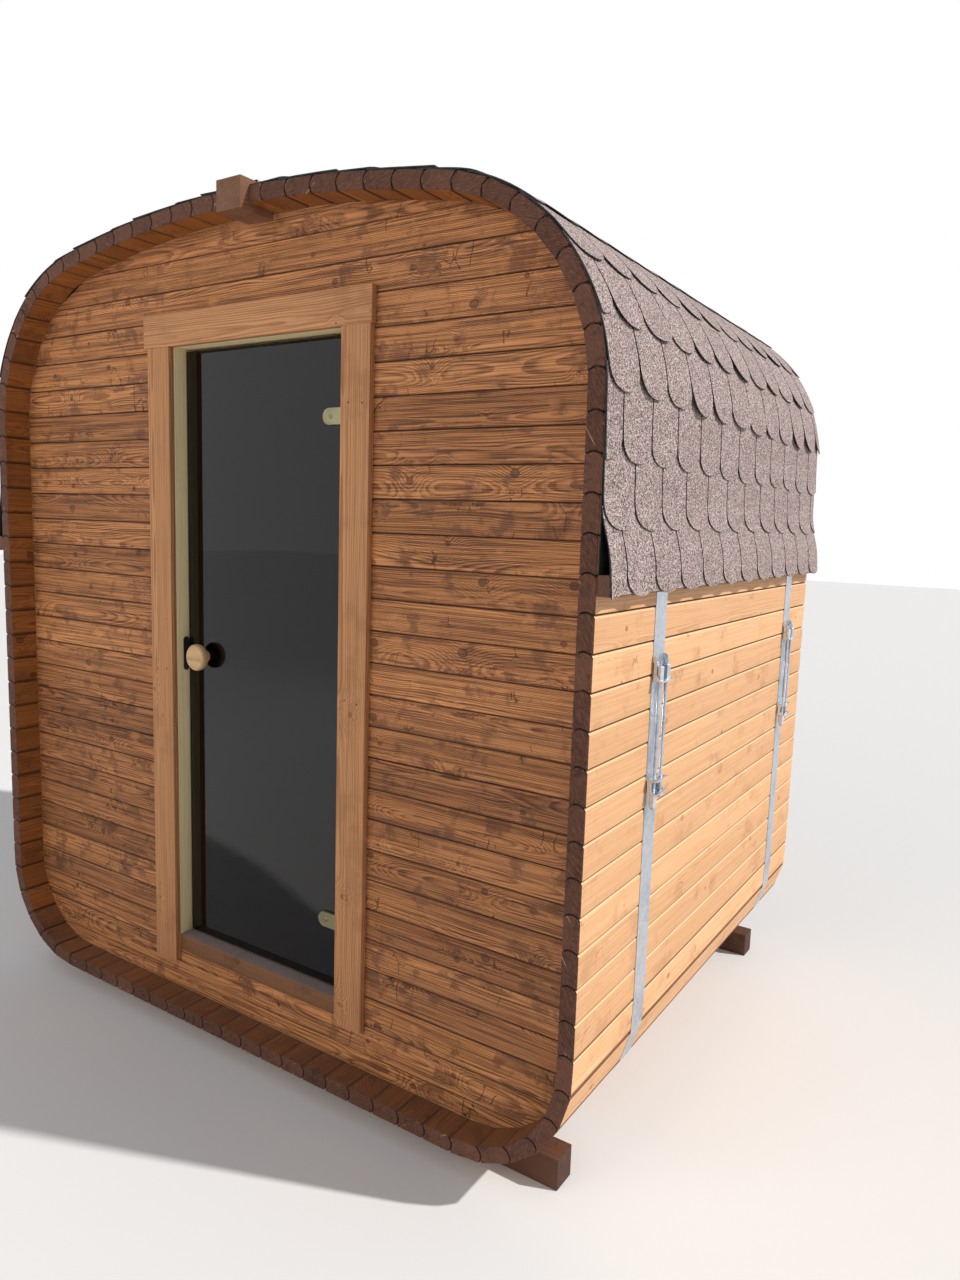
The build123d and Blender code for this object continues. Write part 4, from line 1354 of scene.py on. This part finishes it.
def fit_tightener(end, hoop, upper, lower, seed):
    bench = Workbench(seed)
    y = (hoop[0][1] + hoop[1][1]) / 2 / MM
    y0, y1 = y - LUG_HALF, y + LUG_HALF
    base = lower - CHANNEL
    # an angle above and a channel below: level plates right across, thinner ones against the hoop
    for x1, z0, z1, along in ((LUG_X1, upper, upper + LUG_THICK, "y"),
                              (LUG_X0 + BACK_THICK, upper + ROOT, upper + BACK_TALL, "z"),
                              (LUG_X1, lower - LUG_THICK, lower, "y"),
                              (LUG_X1, base, base + LUG_THICK, "y"),
                              (LUG_X0 + BACK_THICK, base + ROOT, lower - ROOT, "z")):
        bench.block((LUG_X0 * MM, y0 * MM, z0 * MM), (x1 * MM, y1 * MM, z1 * MM), along, 0.7)
    for ear_y, inward in ((y0, 1), (y1, -1)):
        for foot, shape in ((upper, EAR), (base, WEB)):
            upright_plate(bench, [(LUG_X0 + x, ear_y, foot + z) for x, z in shape], inward * EAR_THICK)
    for rod_y, lower_nut in ((y - ROD_APART, LONG_NUT), (y + ROD_APART, SHORT_NUT)):
        threaded_rod(bench, ROD_X, rod_y, base - lower_nut - ROD_BELOW,
                     upper + LUG_THICK + LONG_NUT + ROD_ABOVE)
        for washer in (upper + 4.05, base - 1.65):
            turned(bench, (ROD_X * MM, rod_y * MM, washer * MM), "z", WASHER, 24)
        hex_nut(bench, ROD_X, rod_y, upper + 5.8, LONG_NUT - 2)
        hex_nut(bench, ROD_X, rod_y, base - lower_nut, lower_nut - 1.8)
    bench.build("tightener_parts_" + end, [zinc_bright, zinc_bright], "cabin", "hoop_steel",
                ["tightener_" + end], smooth=30)


fit_tightener("front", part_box("hoop_front"), 1311.0, 1054.0, 81)
fit_tightener("back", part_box("hoop_back"), 1305.0, 1062.0, 82)

# %% [markdown]
# ## Studio
# The photo was taken in hard sun that stands high on the right, a little behind the front wall. One
# sun lamp keeps that direction and its crisp shadows, and a broad lamp in front stands for the light
# that bright ground and open sky throw back. The floor is pale and runs into a white background.

# %% Floor, lamps and background
FLOOR_HALF = 30.0


def lamp(name, kind, energy, colour, toward, location=(0.0, 0.0, 0.0), **settings):
    light = bpy.data.lights.new(name, kind)
    light.energy = energy
    light.color = colour
    for key, value in settings.items():
        setattr(light, key, value)
    holder = add_object(name, light)
    holder.location = location
    holder.rotation_euler = Vector(toward).to_track_quat("-Z", "Y").to_euler()


floor_mesh = bpy.data.meshes.new("studio_floor")
floor_mesh.from_pydata([(x * FLOOR_HALF, y * FLOOR_HALF, 0) for x, y in ((-1, -1), (1, -1), (1, 1), (-1, 1))],
                       [], [(0, 1, 2, 3)])
pale_floor, w = blank_material("pale_floor")
w.surface((0.74, 0.74, 0.74, 1), 0.8)
floor_mesh.materials.append(pale_floor)
floor = add_object("studio_floor", floor_mesh)
lamp("key_right", "SUN", 3.4, (1.0, 0.97, 0.93), (-1.0, -0.40, -0.95), angle=math.radians(1.5))
lamp("fill_front", "AREA", 120, (1.0, 0.99, 0.98), (1.5, 6.5, -2.4), (-1.5, -6.5, 3.6),
     shape="RECTANGLE", size=4.5, size_y=3.5)

world = bpy.data.worlds.new("white_studio")
world.use_nodes = True
world.node_tree.nodes.clear()
w = Wiring(world.node_tree)
rays = w.node("ShaderNodeLightPath")
seen = w.math("MAXIMUM", w.math("MAXIMUM", rays["Is Camera Ray"], rays["Is Glossy Ray"]),
              rays["Is Transmission Ray"])
soft = w.node("ShaderNodeBackground", {"Color": (0.92, 0.95, 1.0, 1), "Strength": 0.40})[0]
white = w.node("ShaderNodeBackground", {"Color": (1, 1, 1, 1), "Strength": 1.0})[0]
w.node("ShaderNodeOutputWorld", {"Surface": w.node("ShaderNodeMixShader", (seen, soft, white))[0]})
bpy.context.scene.world = world
bpy.context.scene.view_settings.view_transform = "Standard"
print("lamps:", len(bpy.data.lights), "world:", world.name)
